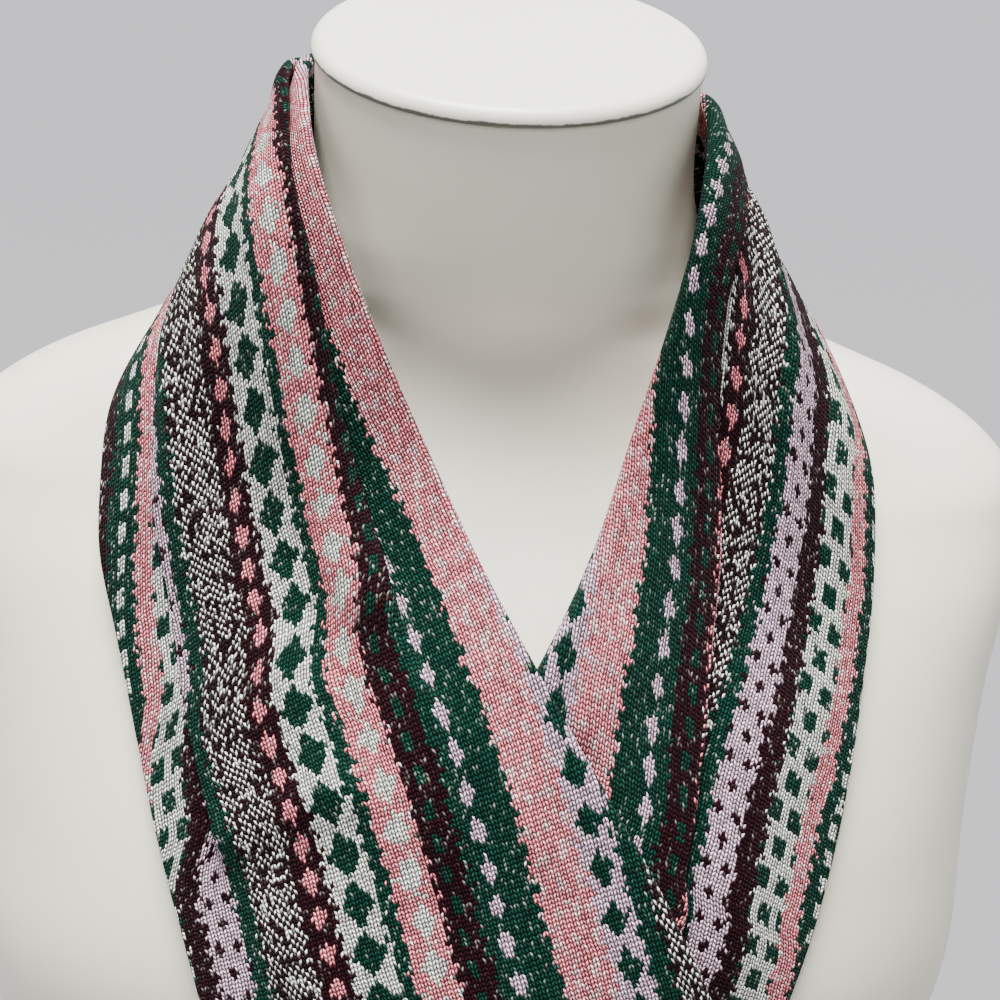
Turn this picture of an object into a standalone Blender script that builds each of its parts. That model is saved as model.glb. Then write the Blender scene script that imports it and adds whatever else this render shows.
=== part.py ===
"""A long knitted scarf with fringed ends, worn on a limbless bust form. Metres, +Z up.

The band of cloth is folded lengthwise, goes round the back of the neck, comes down over both shoulders, crosses on
the chest and hangs in two tails. Its left side, as seen from the front, lies over its right side.
The form faces -Y and stands on its flat base, whose middle is the origin.
"""

import math

import bpy
import numpy as np
from mathutils import Vector
from mathutils.bvhtree import BVHTree

# The cut of the cloth.
CLOTH_WIDTH = 0.20
WALL = 0.0011
SEAM_GAP = 0.0003
FOLD_RADIUS = 0.0011
LEAST_FOLD = 0.0025

# How the cloth lies.
FORM_CLEARANCE = 0.0014
FORM_EXTRA_CLEARANCE = 0.0008
LAYER_CLEARANCE = 0.0015
LIFT_SLOPE = 0.14
SETTLE_REACH = 0.010
SHOULDER_SEAM = 0.160
CROSSING_SEAM = 0.425
NECK_STEP = 0.0125
FRONT_STEP = 0.016
TAIL_STEP = 0.034
EVEN_ROWS = 6
BACK_EASE = 0.08

# Below the chest the tails hang plumb, with soft lengthwise waves.
HANG_START = 0.33
HANG_SLOPE = 0.03
WAVE_DEPTH = 0.007
WAVE_PITCH = 0.058
WAVE_START = 0.44
WAVE_GROWTH = 0.12

# The fringe.
FRINGE_LOCKS = 26
FRINGE_LENGTH = 0.080
FRINGE_STRIP = 0.005
LOCK_WIDTH = 0.0042
LOCK_FLARE = 0.0036
LOCK_THICKNESS = 0.0014

# The bust form.
FORM_SEGMENTS = 36
FORM_RINGS = 32
CAP_THICKNESS = 0.005
CAP_OVERHANG = 0.0012
CAP_EDGE_RADIUS = 0.0015

FORM_COLUMNS = ("height", "half_width", "front", "back", "centre_y", "squareness", "lean")
FORM_ROWS = (
    (0.000, 0.156, 0.098, 0.098, 0.000, 2.30, 0),
    (0.060, 0.165, 0.103, 0.106, 0.000, 2.30, 0),
    (0.120, 0.161, 0.099, 0.104, 0.000, 2.30, 0),
    (0.200, 0.137, 0.088, 0.084, 0.000, 2.30, 0),
    (0.270, 0.120, 0.083, 0.072, 0.000, 2.30, 0),
    (0.340, 0.127, 0.094, 0.076, 0.000, 2.30, 0),
    (0.410, 0.150, 0.113, 0.086, 0.000, 2.35, 0),
    (0.450, 0.158, 0.119, 0.090, 0.000, 2.40, 0),
    (0.490, 0.159, 0.113, 0.091, 0.002, 2.40, 0),
    (0.530, 0.163, 0.098, 0.089, 0.005, 2.40, 0),
    (0.560, 0.169, 0.083, 0.084, 0.008, 2.40, 0),
    (0.585, 0.170, 0.070, 0.076, 0.011, 2.35, 0),
    (0.603, 0.159, 0.061, 0.068, 0.012, 2.30, 0),
    (0.617, 0.137, 0.056, 0.063, 0.011, 2.20, 0),
    (0.629, 0.107, 0.053, 0.060, 0.008, 2.10, 2),
    (0.641, 0.081, 0.052, 0.058, 0.004, 2.00, 5),
    (0.655, 0.066, 0.053, 0.056, -0.002, 2.00, 9),
    (0.672, 0.059, 0.054, 0.054, -0.008, 2.00, 13),
    (0.692, 0.0565, 0.054, 0.053, -0.014, 2.00, 16),
    (0.715, 0.0565, 0.054, 0.053, -0.020, 2.00, 18),
)

# Where the folded band's two long edges run, from the back of the neck to each end, and how it is folded there:
# flap is the cloth turned under at the inner edge, roll that turn's size beside a plain fold, ridge the pleat's place
# as a share of the band's width, and pleat how deep that pleat is.
BAND_COLUMNS = ("inner_x", "inner_y", "inner_z", "outer_x", "outer_y", "outer_z", "flap", "roll", "ridge", "pleat")
BACK_ROW = (0.000, 0.037, 0.708, 0.000, 0.078, 0.608, 0.014, 2.6, 0.48, 0.010)
OVER_ROWS = (
    (-0.0375, 0.0235, 0.712, -0.054, 0.071, 0.613, 0.020, 2.2, 0.55, 0.010),
    (-0.0563, -0.009, 0.713, -0.082, 0.046, 0.630, 0.026, 1.8, 0.64, 0.012),
    (-0.0550, -0.033, 0.705, -0.093, 0.011, 0.637, 0.030, 1.4, 0.66, 0.013),
    (-0.0520, -0.045, 0.691, -0.105, -0.024, 0.622, 0.030, 1.2, 0.69, 0.013),
    (-0.045, -0.052, 0.672, -0.114, -0.044, 0.601, 0.030, 1.0, 0.73, 0.013),
    (-0.035, -0.054, 0.648, -0.114, -0.060, 0.575, 0.030, 1.0, 0.78, 0.012),
    (-0.018, -0.055, 0.612, -0.107, -0.075, 0.548, 0.030, 1.0, 0.82, 0.010),
    (0.001, -0.070, 0.580, -0.099, -0.088, 0.520, 0.029, 1.0, 0.84, 0.008),
    (0.018, -0.085, 0.556, -0.092, -0.100, 0.497, 0.026, 1.0, 0.85, 0.005),
    (0.040, -0.101, 0.524, -0.084, -0.110, 0.474, 0.018, 1.0, 0.85, 0.0025),
    (0.058, -0.110, 0.497, -0.076, -0.116, 0.452, 0.010, 1.0, 0.78, 0.0025),
    (0.075, -0.115, 0.464, -0.066, -0.121, 0.424, 0.005, 1.0, 0.77, 0.0025),
    (0.088, -0.121, 0.425, -0.054, -0.126, 0.392, 0.0025, 1.0, 0.76, 0.0025),
    (0.096, -0.126, 0.380, -0.047, -0.128, 0.360, 0.0025, 1.0, 0.75, 0.0025),
    (0.101, -0.128, 0.330, -0.044, -0.130, 0.318, 0.0025, 1.0, 0.74, 0.0025),
    (0.105, -0.129, 0.270, -0.043, -0.130, 0.262, 0.0025, 1.0, 0.73, 0.0025),
    (0.108, -0.129, 0.205, -0.045, -0.130, 0.200, 0.0025, 1.0, 0.72, 0.0025),
    (0.111, -0.129, 0.150, -0.048, -0.130, 0.150, 0.0025, 1.0, 0.72, 0.0025),
)
UNDER_ROWS = (
    (0.0375, 0.0235, 0.708, 0.054, 0.071, 0.613, 0.030, 2.4, 0.34, 0.012),
    (0.0563, -0.008, 0.706, 0.082, 0.046, 0.630, 0.044, 2.8, 0.25, 0.016),
    (0.0560, -0.031, 0.699, 0.095, 0.010, 0.636, 0.048, 2.8, 0.29, 0.019),
    (0.0540, -0.042, 0.686, 0.106, -0.026, 0.618, 0.051, 2.8, 0.24, 0.016),
    (0.052, -0.046, 0.667, 0.114, -0.047, 0.596, 0.051, 3.0, 0.20, 0.013),
    (0.046, -0.047, 0.640, 0.115, -0.060, 0.570, 0.044, 3.0, 0.27, 0.014),
    (0.036, -0.054, 0.607, 0.113, -0.072, 0.545, 0.034, 3.0, 0.40, 0.018),
    (0.027, -0.068, 0.581, 0.110, -0.083, 0.522, 0.027, 3.0, 0.46, 0.021),
    (0.014, -0.084, 0.555, 0.106, -0.092, 0.500, 0.018, 3.0, 0.53, 0.024),
    (-0.004, -0.098, 0.525, 0.100, -0.100, 0.476, 0.005, 3.0, 0.60, 0.026),
    (-0.024, -0.110, 0.497, 0.093, -0.106, 0.455, 0.0025, 2.0, 0.64, 0.022),
    (-0.044, -0.118, 0.462, 0.084, -0.114, 0.425, 0.0025, 1.0, 0.66, 0.016),
    (-0.060, -0.122, 0.424, 0.072, -0.120, 0.394, 0.0025, 1.0, 0.66, 0.010),
    (-0.070, -0.124, 0.380, 0.061, -0.122, 0.362, 0.0025, 1.0, 0.66, 0.006),
    (-0.076, -0.124, 0.330, 0.055, -0.122, 0.320, 0.0025, 1.0, 0.62, 0.0025),
    (-0.080, -0.124, 0.270, 0.052, -0.122, 0.264, 0.0025, 1.0, 0.62, 0.0025),
    (-0.085, -0.124, 0.215, 0.052, -0.122, 0.212, 0.0025, 1.0, 0.62, 0.0025),
    (-0.090, -0.124, 0.170, 0.054, -0.122, 0.170, 0.0025, 1.0, 0.62, 0.0025),
)
# How many strips of mesh go across each run of the folded band and round each of its turns.
RUN_STRIPS = {"flap": 2, "top": 7, "pleat": 1, "side": 5, "under": 2}
TURN_STRIPS = 4

MATERIALS = {
    "bust_form": ((0.80, 0.79, 0.75), 0.32),
    "scarf": ((0.10, 0.22, 0.17), 0.9),
    "fringe": ((0.55, 0.36, 0.38), 0.9),
}


# ---- Small tools -------------------------------------------------------------------------------------------------


def curve_through(places, values, at):
    """A smooth curve through rows of values at the given places, read at other places, with no overshoot."""
    places, values = np.asarray(places, float), np.asarray(values, float)
    steps = np.diff(places)
    rises = np.diff(values, axis=0) / steps[:, None]
    slopes = np.concatenate([rises[:1], (rises[1:] + rises[:-1]) / 2, rises[-1:]])
    turning = rises[1:] * rises[:-1] <= 0
    slopes[1:-1][turning] = 0
    low = np.minimum(abs(rises[1:]), abs(rises[:-1])) * 3
    slopes[1:-1] = np.clip(slopes[1:-1], -low, low)
    at = np.clip(np.atleast_1d(at), places[0], places[-1])
    k = np.clip(np.searchsorted(places, at) - 1, 0, len(places) - 2)
    t, h = ((at - places[k]) / steps[k])[:, None], steps[k][:, None]
    return (
        (1 + 2 * t) * (1 - t) ** 2 * values[k]
        + t * (1 - t) ** 2 * h * slopes[k]
        + t * t * (3 - 2 * t) * values[k + 1]
        + t * t * (t - 1) * h * slopes[k + 1]
    )


def smooth_step(x):
    x = np.clip(x, 0, 1)
    return x * x * (3 - 2 * x)


def unit(vectors):
    return vectors / np.maximum(np.linalg.norm(vectors, axis=-1, keepdims=True), 1e-12)


def blurred(field, passes):
    """A grid of numbers or points, each pass averaging every one with its four neighbours."""
    for _ in range(passes):
        padded = np.pad(field, [(1, 1), (1, 1)] + [(0, 0)] * (field.ndim - 2), "edge")
        sides = padded[:-2, 1:-1] + padded[2:, 1:-1] + padded[1:-1, :-2] + padded[1:-1, 2:]
        field = 0.5 * field + 0.125 * sides
    return field


def tree_of(points, faces):
    return BVHTree.FromPolygons([Vector(p) for p in points], [tuple(f) for f in faces])


def enclosed_volume(points, faces):
    """The volume inside a closed body, below zero where its faces point inwards."""
    points = np.asarray(points)
    fans = [(f[0], a, b) for f in faces for a, b in zip(f[1:], f[2:])]
    a, b, c = (points[list(corner)] for corner in zip(*fans))
    return float((a * np.cross(b, c)).sum()) / 6


def add_object(name, points, faces, material):
    mesh = bpy.data.meshes.new(name)
    mesh.from_pydata([tuple(p) for p in points], [], [tuple(f) for f in faces])
    if enclosed_volume(points, faces) < 0:
        mesh.flip_normals()
    mesh.shade_smooth()
    mesh.set_sharp_from_angle(angle=math.radians(50))
    mesh.materials.append(material)
    obj = bpy.data.objects.new(name, mesh)
    bpy.context.scene.collection.objects.link(obj)
    return obj


def add_material(name, colour, roughness):
    material = bpy.data.materials.new(name)
    material.use_nodes = True
    shader = material.node_tree.nodes["Principled BSDF"]
    shader.inputs["Base Color"].default_value = (*colour, 1)
    shader.inputs["Roughness"].default_value = roughness
    return material


# ---- The bust form: stacked rings, leaning forward at the neck ---------------------------------------------------


def form_ring(height, grow=0.0, rise=0.0):
    """One ring of the form. grow widens it, and rise lifts it along the neck's own axis."""
    row = dict(zip(FORM_COLUMNS, curve_through([r[0] for r in FORM_ROWS], FORM_ROWS, height)[0]))
    turn = np.arange(FORM_SEGMENTS) * 2 * math.pi / FORM_SEGMENTS
    power, lean = 2 / row["squareness"], math.radians(row["lean"])
    across = np.sign(np.cos(turn)) * abs(np.cos(turn)) ** power
    along = np.sign(np.sin(turn)) * abs(np.sin(turn)) ** power
    x = (row["half_width"] + grow) * across
    y = np.where(along < 0, row["front"] + grow, row["back"] + grow) * along
    return np.stack(
        [
            x,
            row["centre_y"] + y * math.cos(lean) - rise * math.sin(lean),
            row["height"] + y * math.sin(lean) + rise * math.cos(lean),
        ],
        axis=1,
    )


def stacked_rings(rings):
    """Points and faces of a closed body lofted through rings, the lowest first."""
    count = len(rings[0])
    faces = [
        (j * count + i, j * count + (i + 1) % count, (j + 1) * count + (i + 1) % count, (j + 1) * count + i)
        for j in range(len(rings) - 1)
        for i in range(count)
    ]
    faces.append(tuple(reversed(range(count))))
    faces.append(tuple((len(rings) - 1) * count + i for i in range(count)))
    return np.concatenate(rings), faces


def form_heights():
    """Ring heights, closer together from the shoulders up, where the shape turns quickly."""
    low, top = FORM_ROWS[0][0], FORM_ROWS[-1][0]
    shoulder = 0.57
    below = FORM_RINGS // 2
    return np.concatenate([np.linspace(low, shoulder, below), np.linspace(shoulder, top, FORM_RINGS - below + 1)[1:]])


def neck_cap_rings():
    """A thin disc with rounded edges on the cut neck, a hair above it."""
    top = FORM_ROWS[-1][0]
    rim, bottom, upper = CAP_OVERHANG, SEAM_GAP, SEAM_GAP + CAP_THICKNESS
    steps = (
        (rim - CAP_EDGE_RADIUS, bottom),
        (rim, bottom + CAP_EDGE_RADIUS),
        (rim, upper - CAP_EDGE_RADIUS),
        (rim - 0.3 * CAP_EDGE_RADIUS, upper - 0.3 * CAP_EDGE_RADIUS),
        (rim - CAP_EDGE_RADIUS, upper),
    )
    return [form_ring(top, grow, rise) for grow, rise in steps]


# ---- The sheet that the band lies on, between its two long edges -------------------------------------------------


class Band:
    """One half of the scarf, from the back of the neck to an end, as the surface that it lies on and its folds."""

    ACROSS = 25

    def __init__(self, rows, form_tree, below=None):
        rows = np.array((BACK_ROW, *rows))
        mirrored = rows[1] * np.where(np.isin(np.arange(len(BAND_COLUMNS)), (0, 3)), -1, 1)
        rows = np.concatenate([mirrored[None], rows])
        middles = (rows[:, 0:3] + rows[:, 3:6]) / 2
        places = np.concatenate([[0], np.cumsum(np.linalg.norm(np.diff(middles, axis=0), axis=1))])
        places -= places[1]
        self.length = places[-1]
        self.stations = np.linspace(0, self.length, int(self.length / 0.005) + 1)
        table = curve_through(places, rows, self.stations)
        self.folds = dict(zip(BAND_COLUMNS[6:], table[:, 6:].T))
        share = np.linspace(0, 1, self.ACROSS)[None, :, None]
        grid = table[:, None, 0:3] * (1 - share) + table[:, None, 3:6] * share
        self.grid = self.hung(self.cleared(grid, form_tree, below, self.stations[1]))
        self.measure()

    def measure(self):
        self.normals = self.outward(self.grid)
        spans = np.linalg.norm(np.diff(self.grid, axis=1), axis=2)
        self.across = np.concatenate([np.zeros((len(spans), 1)), np.cumsum(spans, axis=1)], axis=1)

    def meet(self, other):
        """Both halves ease into one shared row at the back of the neck."""
        shared = (self.grid[0] + other.grid[0]) / 2
        for band in (self, other):
            eased = 1 - smooth_step(band.stations / BACK_EASE)
            band.grid = band.grid + (shared - band.grid[0]) * eased[:, None, None]
            band.measure()

    @staticmethod
    def cleared(grid, form_tree, below, station_step):
        """The sheet, moved out wherever it is nearer to the form than the clearance, or behind what lies below.

        It comes back only at a gentle slope above the place where it starts to lie on the other side.
        """
        for turn in range(5):
            if turn:
                before = grid[EVEN_ROWS:0:-1] * np.array([-1, 1, 1])
                beyond = grid[-1] + (grid[-1] - grid[-2]) * np.arange(1, EVEN_ROWS + 1)[:, None, None]
                grid = blurred(np.concatenate([before, grid, beyond]), 2)[EVEN_ROWS:-EVEN_ROWS]
            clearance = FORM_CLEARANCE + (FORM_EXTRA_CLEARANCE if turn < 4 else 0)
            for j in range(grid.shape[0]):
                for i in range(grid.shape[1]):
                    place, normal, _, _ = form_tree.find_nearest(Vector(grid[j, i]))
                    near = clearance - (Vector(grid[j, i]) - place).dot(normal)
                    if near > 0:
                        grid[j, i] += np.array(normal) * near
        if below is None:
            return grid
        need = np.zeros(grid.shape[:2])
        for j in range(grid.shape[0]):
            for i in range(grid.shape[1]):
                x, y, z = grid[j, i]
                place = below.ray_cast(Vector((x, -0.4, z)), Vector((0, 1, 0)), 0.4 + y)[0]
                if place is not None:
                    need[j, i] = max(0, y - place.y + LAYER_CLEARANCE)
        reach = 3
        padded = np.pad(need, reach, "edge")
        widest = np.max(
            [
                padded[j : j + need.shape[0], i : i + need.shape[1]]
                for j in range(2 * reach + 1)
                for i in range(2 * reach + 1)
            ],
            axis=0,
        )
        for j in range(len(widest) - 2, -1, -1):
            widest[j] = np.maximum(widest[j], widest[j + 1] - LIFT_SLOPE * station_step)
        grid[..., 1] -= blurred(widest, 12)
        return grid

    def hung(self, grid):
        """The sheet, hanging plumb from the chest's foremost part and waved below it."""
        step = self.stations[1] - self.stations[0]
        for j in np.flatnonzero(self.stations > HANG_START):
            grid[j, :, 1] = np.minimum(grid[j, :, 1], grid[j - 1, :, 1] + HANG_SLOPE * step)
        grown = smooth_step((self.stations - WAVE_START) / WAVE_GROWTH)[:, None]
        phase = grid[..., 0] / WAVE_PITCH + 0.25 * np.sin(self.stations * 9)[:, None]
        grid[..., 1] -= WAVE_DEPTH * grown * (0.5 + 0.5 * np.sin(2 * math.pi * phase))
        return grid

    @staticmethod
    def outward(grid):
        """The direction away from the form at each point of the sheet."""
        along = np.gradient(grid, axis=0)
        across = np.gradient(grid, axis=1)
        normal = unit(np.cross(along, across))
        centre = np.array([0, 0.01, 0])
        away = ((grid - centre) * np.array([1, 1, 0.3]) * normal).sum(-1)
        return normal if np.median(away) > 0 else -normal

    def at(self, station, reach):
        """Points and outward directions of the sheet at one station, at distances from its inner edge."""
        j = min(max(station / self.length, 0), 1) * (len(self.stations) - 1)
        low = min(int(j), len(self.stations) - 2)
        t = j - low
        grid = self.grid[low] * (1 - t) + self.grid[low + 1] * t
        normals = unit(self.normals[low] * (1 - t) + self.normals[low + 1] * t)
        across = self.across[low] * (1 - t) + self.across[low + 1] * t
        point = np.stack([np.interp(reach, across, grid[:, k]) for k in range(3)], axis=1)
        normal = np.stack([np.interp(reach, across, normals[:, k]) for k in range(3)], axis=1)
        past = np.minimum(reach, 0) + np.maximum(reach - across[-1], 0)
        point += past[:, None] * unit(grid[-1] - grid[0])
        return point, unit(normal)

    def fold(self, name, station):
        return float(np.interp(station, self.stations, self.folds[name]))

    def width(self, station):
        return float(np.interp(station, self.stations, self.across[:, -1]))


# ---- The folded section across the band ---------------------------------------------------------------------------


def outer_turn(width, flap, pleat):
    """The flat place of the fold at the band's outer edge."""
    return flap + width + 2 * pleat


def section(band, station, finer=1):
    """The band's folded section at one station: flat places across the cloth, reach from the inner edge and height."""
    width, flap, pleat = band.width(station), band.fold("flap", station), band.fold("pleat", station)
    flapped, pleated = (float(smooth_step((size - LEAST_FOLD) / LEAST_FOLD)) for size in (flap, pleat))
    ridge = flap + band.fold("ridge", station) * width
    outer = outer_turn(width, flap * flapped, pleat * pleated)
    arc = math.pi * FOLD_RADIUS
    turns = (
        (flap, -math.pi * flapped, arc * band.fold("roll", station)),
        (ridge, -math.pi * pleated, arc),
        (ridge + pleat, math.pi * pleated, arc),
        (outer, -math.pi, arc),
    )
    flat = np.linspace(0, CLOTH_WIDTH, 1201)
    heading = np.full_like(flat, math.pi * flapped)
    for place, turn, length in turns:
        heading += turn * np.clip((flat - place) / length + 0.5, 0, 1)
    step = flat[1] - flat[0]
    reach = np.concatenate([[0], np.cumsum(np.cos((heading[1:] + heading[:-1]) / 2)) * step])
    height = np.concatenate([[0], np.cumsum(np.sin((heading[1:] + heading[:-1]) / 2)) * step])
    reach -= reach.min()
    reach *= width / reach.max()
    height -= settled(reach, height)
    height += WALL / 2
    ends = [0.0]
    for place, _, length in turns:
        ends += [max(place - length / 2, ends[-1] + 0.0005), place + length / 2]
    ends.append(CLOTH_WIDTH)
    runs = ("flap", "top", "pleat", "side", "under")
    counts = [n for run in runs for n in (RUN_STRIPS[run] * finer, TURN_STRIPS * finer)][:-1]
    picked = [np.linspace(a, b, n + 1)[:-1] for a, b, n in zip(ends, ends[1:], counts)]
    picked = np.concatenate([*picked, [CLOTH_WIDTH]])
    return picked, np.interp(picked, flat, reach), np.interp(picked, flat, height)


def settled(reach, height):
    """How far to lower the section at each reach, so that its lowest layer rests on the sheet in a soft line."""
    bins = np.linspace(0, reach.max(), 181)
    place = np.clip((reach / reach.max() * 180).round().astype(int), 0, 180)
    lowest = np.full(181, np.inf)
    np.minimum.at(lowest, place, height)
    lowest = np.where(np.isfinite(lowest), lowest, height.max())
    reach_bins = max(1, int(SETTLE_REACH / (bins[1] - bins[0])))
    padded = np.pad(lowest, 2 * reach_bins, "edge")
    least = np.array([padded[i : i + 2 * reach_bins + 1].min() for i in range(len(padded) - 2 * reach_bins)])
    kernel = np.hanning(2 * reach_bins + 3)[1:-1]
    soft = np.convolve(least, kernel / kernel.sum(), "valid")
    return np.interp(reach, bins, soft)


def cloth_rows(band, stations, finer=1):
    """The middle of the wall at each station, as a grid of points, and each point's flat place across the cloth."""
    points, flats = [], []
    for station in stations:
        flat, reach, height = section(band, station, finer)
        base, normal = band.at(station, reach)
        points.append(base + normal * height[:, None])
        flats.append(flat)
    return np.array(points), np.array(flats)


def wall_normals(grid):
    return unit(np.cross(np.gradient(grid, axis=0), np.gradient(grid, axis=1)))


def wall(grid, thickness=WALL):
    """Points and faces of a closed wall whose middle is the grid."""
    rows, columns = grid.shape[:2]
    half = wall_normals(grid) * thickness / 2
    points = np.concatenate([(grid + half).reshape(-1, 3), (grid - half).reshape(-1, 3)])
    back = rows * columns

    def index(j, i, side):
        return side * back + j * columns + i

    faces = []
    for j in range(rows - 1):
        for i in range(columns - 1):
            corners = ((j, i), (j + 1, i), (j + 1, i + 1), (j, i + 1))
            faces.append(tuple(index(*c, 0) for c in corners))
            faces.append(tuple(index(*c, 1) for c in reversed(corners)))
    for j in range(rows - 1):
        for i, ahead in ((0, 1), (columns - 1, 0)):
            a, b = (j + ahead, i), (j + 1 - ahead, i)
            faces.append((index(*a, 0), index(*b, 0), index(*b, 1), index(*a, 1)))
    for i in range(columns - 1):
        for j, ahead in ((0, 0), (rows - 1, 1)):
            a, b = (j, i + ahead), (j, i + 1 - ahead)
            faces.append((index(*a, 0), index(*b, 0), index(*b, 1), index(*a, 1)))
    return points, faces


def evenly(start, end, step):
    return np.linspace(start, end, max(2, round(abs(end - start) / step) + 1))


# ---- The fringe: a narrow strip that goes on from the cloth's edge, with locks growing out of it ------------------


def fringe(band):
    """Points and faces of one end's strip and locks. The strip has the cloth's section, folded once at its outer edge."""
    end_flat, end_reach, end_height = section(band, band.length, finer=3)
    turn = outer_turn(band.width(band.length), 0, 0)
    arc = math.pi * FOLD_RADIUS
    flats, roots = [0.0], []
    for start, end in ((0.0, turn), (turn, CLOTH_WIDTH)):
        count = round(FRINGE_LOCKS * (end - start) / CLOTH_WIDTH)
        for k in range(count):
            middle = start + (k + 0.5) * (end - start) / count
            roots.append(len(flats))
            flats += [middle - LOCK_WIDTH / 2, middle + LOCK_WIDTH / 2]
        if end < CLOTH_WIDTH:
            flats += [turn + arc * share for share in (-0.45, -0.15, 0.15, 0.45)]
    flats = np.array([*flats, CLOTH_WIDTH])
    base, normal = band.at(band.length, np.interp(flats, end_flat, end_reach))
    edge = base + normal * np.interp(flats, end_flat, end_height)[:, None]
    down = np.array([0, 0, -1.0])
    half = unit(np.cross(down, unit(np.gradient(edge, axis=0)))) * WALL / 2
    upper, lower = edge + down * SEAM_GAP, edge + down * (SEAM_GAP + FRINGE_STRIP)
    count = len(flats)
    points = [*(upper + half), *(lower + half), *(upper - half), *(lower - half)]

    def index(i, row, side):
        return side * 2 * count + row * count + i

    faces = []
    for i in range(count - 1):
        faces.append((index(i, 0, 0), index(i, 1, 0), index(i + 1, 1, 0), index(i + 1, 0, 0)))
        faces.append((index(i, 0, 1), index(i + 1, 0, 1), index(i + 1, 1, 1), index(i, 1, 1)))
        faces.append((index(i, 0, 0), index(i + 1, 0, 0), index(i + 1, 0, 1), index(i, 0, 1)))
        if i not in roots:
            faces.append((index(i, 1, 0), index(i, 1, 1), index(i + 1, 1, 1), index(i + 1, 1, 0)))
    faces.append((index(0, 0, 0), index(0, 0, 1), index(0, 1, 1), index(0, 1, 0)))
    last = count - 1
    faces.append((index(last, 0, 0), index(last, 1, 0), index(last, 1, 1), index(last, 0, 1)))
    for number, i in enumerate(roots):
        add_lock(points, faces, index, i, number)
    return np.array(points), faces


def add_lock(points, faces, index, i, number):
    """One lock grows down from the strip's lower face between points i and i + 1: neck, belly and blunt tip."""
    ring = [index(i, 1, 0), index(i, 1, 1), index(i + 1, 1, 1), index(i + 1, 1, 0)]
    corners = [np.array(points[c]) for c in ring]
    middle = sum(corners) / 4
    side = unit(corners[2] - corners[1])
    facing = unit(corners[0] - corners[1])
    length = FRINGE_LENGTH * (1 + 0.04 * math.sin(2.4 * number))
    sway = 0.0016 * math.sin(1.7 * number)
    steps = ((0.12, 0.75, 0.9), (0.45, 1.0, 1.0), (0.97, 0.8, 0.9))
    for drop, wide, thick in steps:
        centre = middle + np.array([0, 0, -length * drop]) + side * sway * drop
        reach = side * LOCK_FLARE * wide / 2
        depth = facing * LOCK_THICKNESS * thick / 2
        new = len(points)
        points.extend([centre - reach + depth, centre - reach - depth, centre + reach - depth, centre + reach + depth])
        below = [new, new + 1, new + 2, new + 3]
        for a in range(4):
            b = (a + 1) % 4
            faces.append((ring[a], ring[b], below[b], below[a]))
        ring = below
    faces.append(tuple(ring))


# ---- Putting it together ------------------------------------------------------------------------------------------


def build():
    for obj in list(bpy.data.objects):
        bpy.data.objects.remove(obj, do_unlink=True)
    materials = {name: add_material(name, *look) for name, look in MATERIALS.items()}

    form_points, form_faces = stacked_rings([form_ring(h) for h in form_heights()])
    add_object("bust_form", form_points, form_faces, materials["bust_form"])
    cap_points, cap_faces = stacked_rings(neck_cap_rings())
    add_object("neck_cap", cap_points, cap_faces, materials["bust_form"])
    form_tree = tree_of(form_points, form_faces)

    under = Band(UNDER_ROWS, form_tree)
    under_front, _ = cloth_rows(under, evenly(SHOULDER_SEAM, CROSSING_SEAM - SEAM_GAP / 2, FRONT_STEP))
    under_tail, _ = cloth_rows(under, evenly(CROSSING_SEAM + SEAM_GAP / 2, under.length, TAIL_STEP))
    below_points, below_faces = [], []
    for name, grid in (("scarf_under_front", under_front), ("scarf_under_tail", under_tail)):
        points, faces = wall(grid)
        add_object(name, points, faces, materials["scarf"])
        below_faces += [tuple(c + len(below_points) for c in f) for f in faces]
        below_points += list(points)

    over = Band(OVER_ROWS, form_tree, tree_of(below_points, below_faces))
    over_front, _ = cloth_rows(over, evenly(SHOULDER_SEAM, CROSSING_SEAM - SEAM_GAP / 2, FRONT_STEP))
    over_tail, _ = cloth_rows(over, evenly(CROSSING_SEAM + SEAM_GAP / 2, over.length, TAIL_STEP))
    for name, grid in (("scarf_over_front", over_front), ("scarf_over_tail", over_tail)):
        add_object(name, *wall(grid), materials["scarf"])

    under.meet(over)
    neck_stations = evenly(0, SHOULDER_SEAM - SEAM_GAP, NECK_STEP)
    left, _ = cloth_rows(over, neck_stations)
    right, _ = cloth_rows(under, neck_stations[1:])
    add_object("scarf_neck", *wall(np.concatenate([right[::-1], left])), materials["scarf"])

    for name, band in (("fringe_over", over), ("fringe_under", under)):
        add_object(name, *fringe(band), materials["fringe"])


build()
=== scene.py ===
"""Looks of the fringed knitted scarf on its limbless bust form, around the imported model. Metres, +Z up."""

import math

import bpy
import numpy as np
from mathutils import Matrix, Vector
from mathutils.bvhtree import BVHTree


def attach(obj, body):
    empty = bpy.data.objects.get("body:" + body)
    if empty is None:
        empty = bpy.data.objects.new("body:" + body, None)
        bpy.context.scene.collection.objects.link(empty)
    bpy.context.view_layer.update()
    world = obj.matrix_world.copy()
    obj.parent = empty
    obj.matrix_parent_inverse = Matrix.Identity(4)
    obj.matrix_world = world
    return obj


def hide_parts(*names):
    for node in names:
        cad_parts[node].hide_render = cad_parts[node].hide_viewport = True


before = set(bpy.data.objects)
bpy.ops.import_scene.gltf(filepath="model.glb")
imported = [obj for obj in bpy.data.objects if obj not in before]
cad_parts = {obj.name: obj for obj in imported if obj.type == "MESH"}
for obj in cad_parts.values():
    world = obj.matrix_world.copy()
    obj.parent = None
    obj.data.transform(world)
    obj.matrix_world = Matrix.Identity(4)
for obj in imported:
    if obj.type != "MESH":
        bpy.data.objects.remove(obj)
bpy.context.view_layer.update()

# ---- The bust form ---------------------------------------------------------------------------------------
# A limbless torso for shop display, moulded in one hollow piece and sprayed satin white. It stands on its
# flat base. Rings from a table of widths and depths are lofted, and the neck's rings lean forward.

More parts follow.
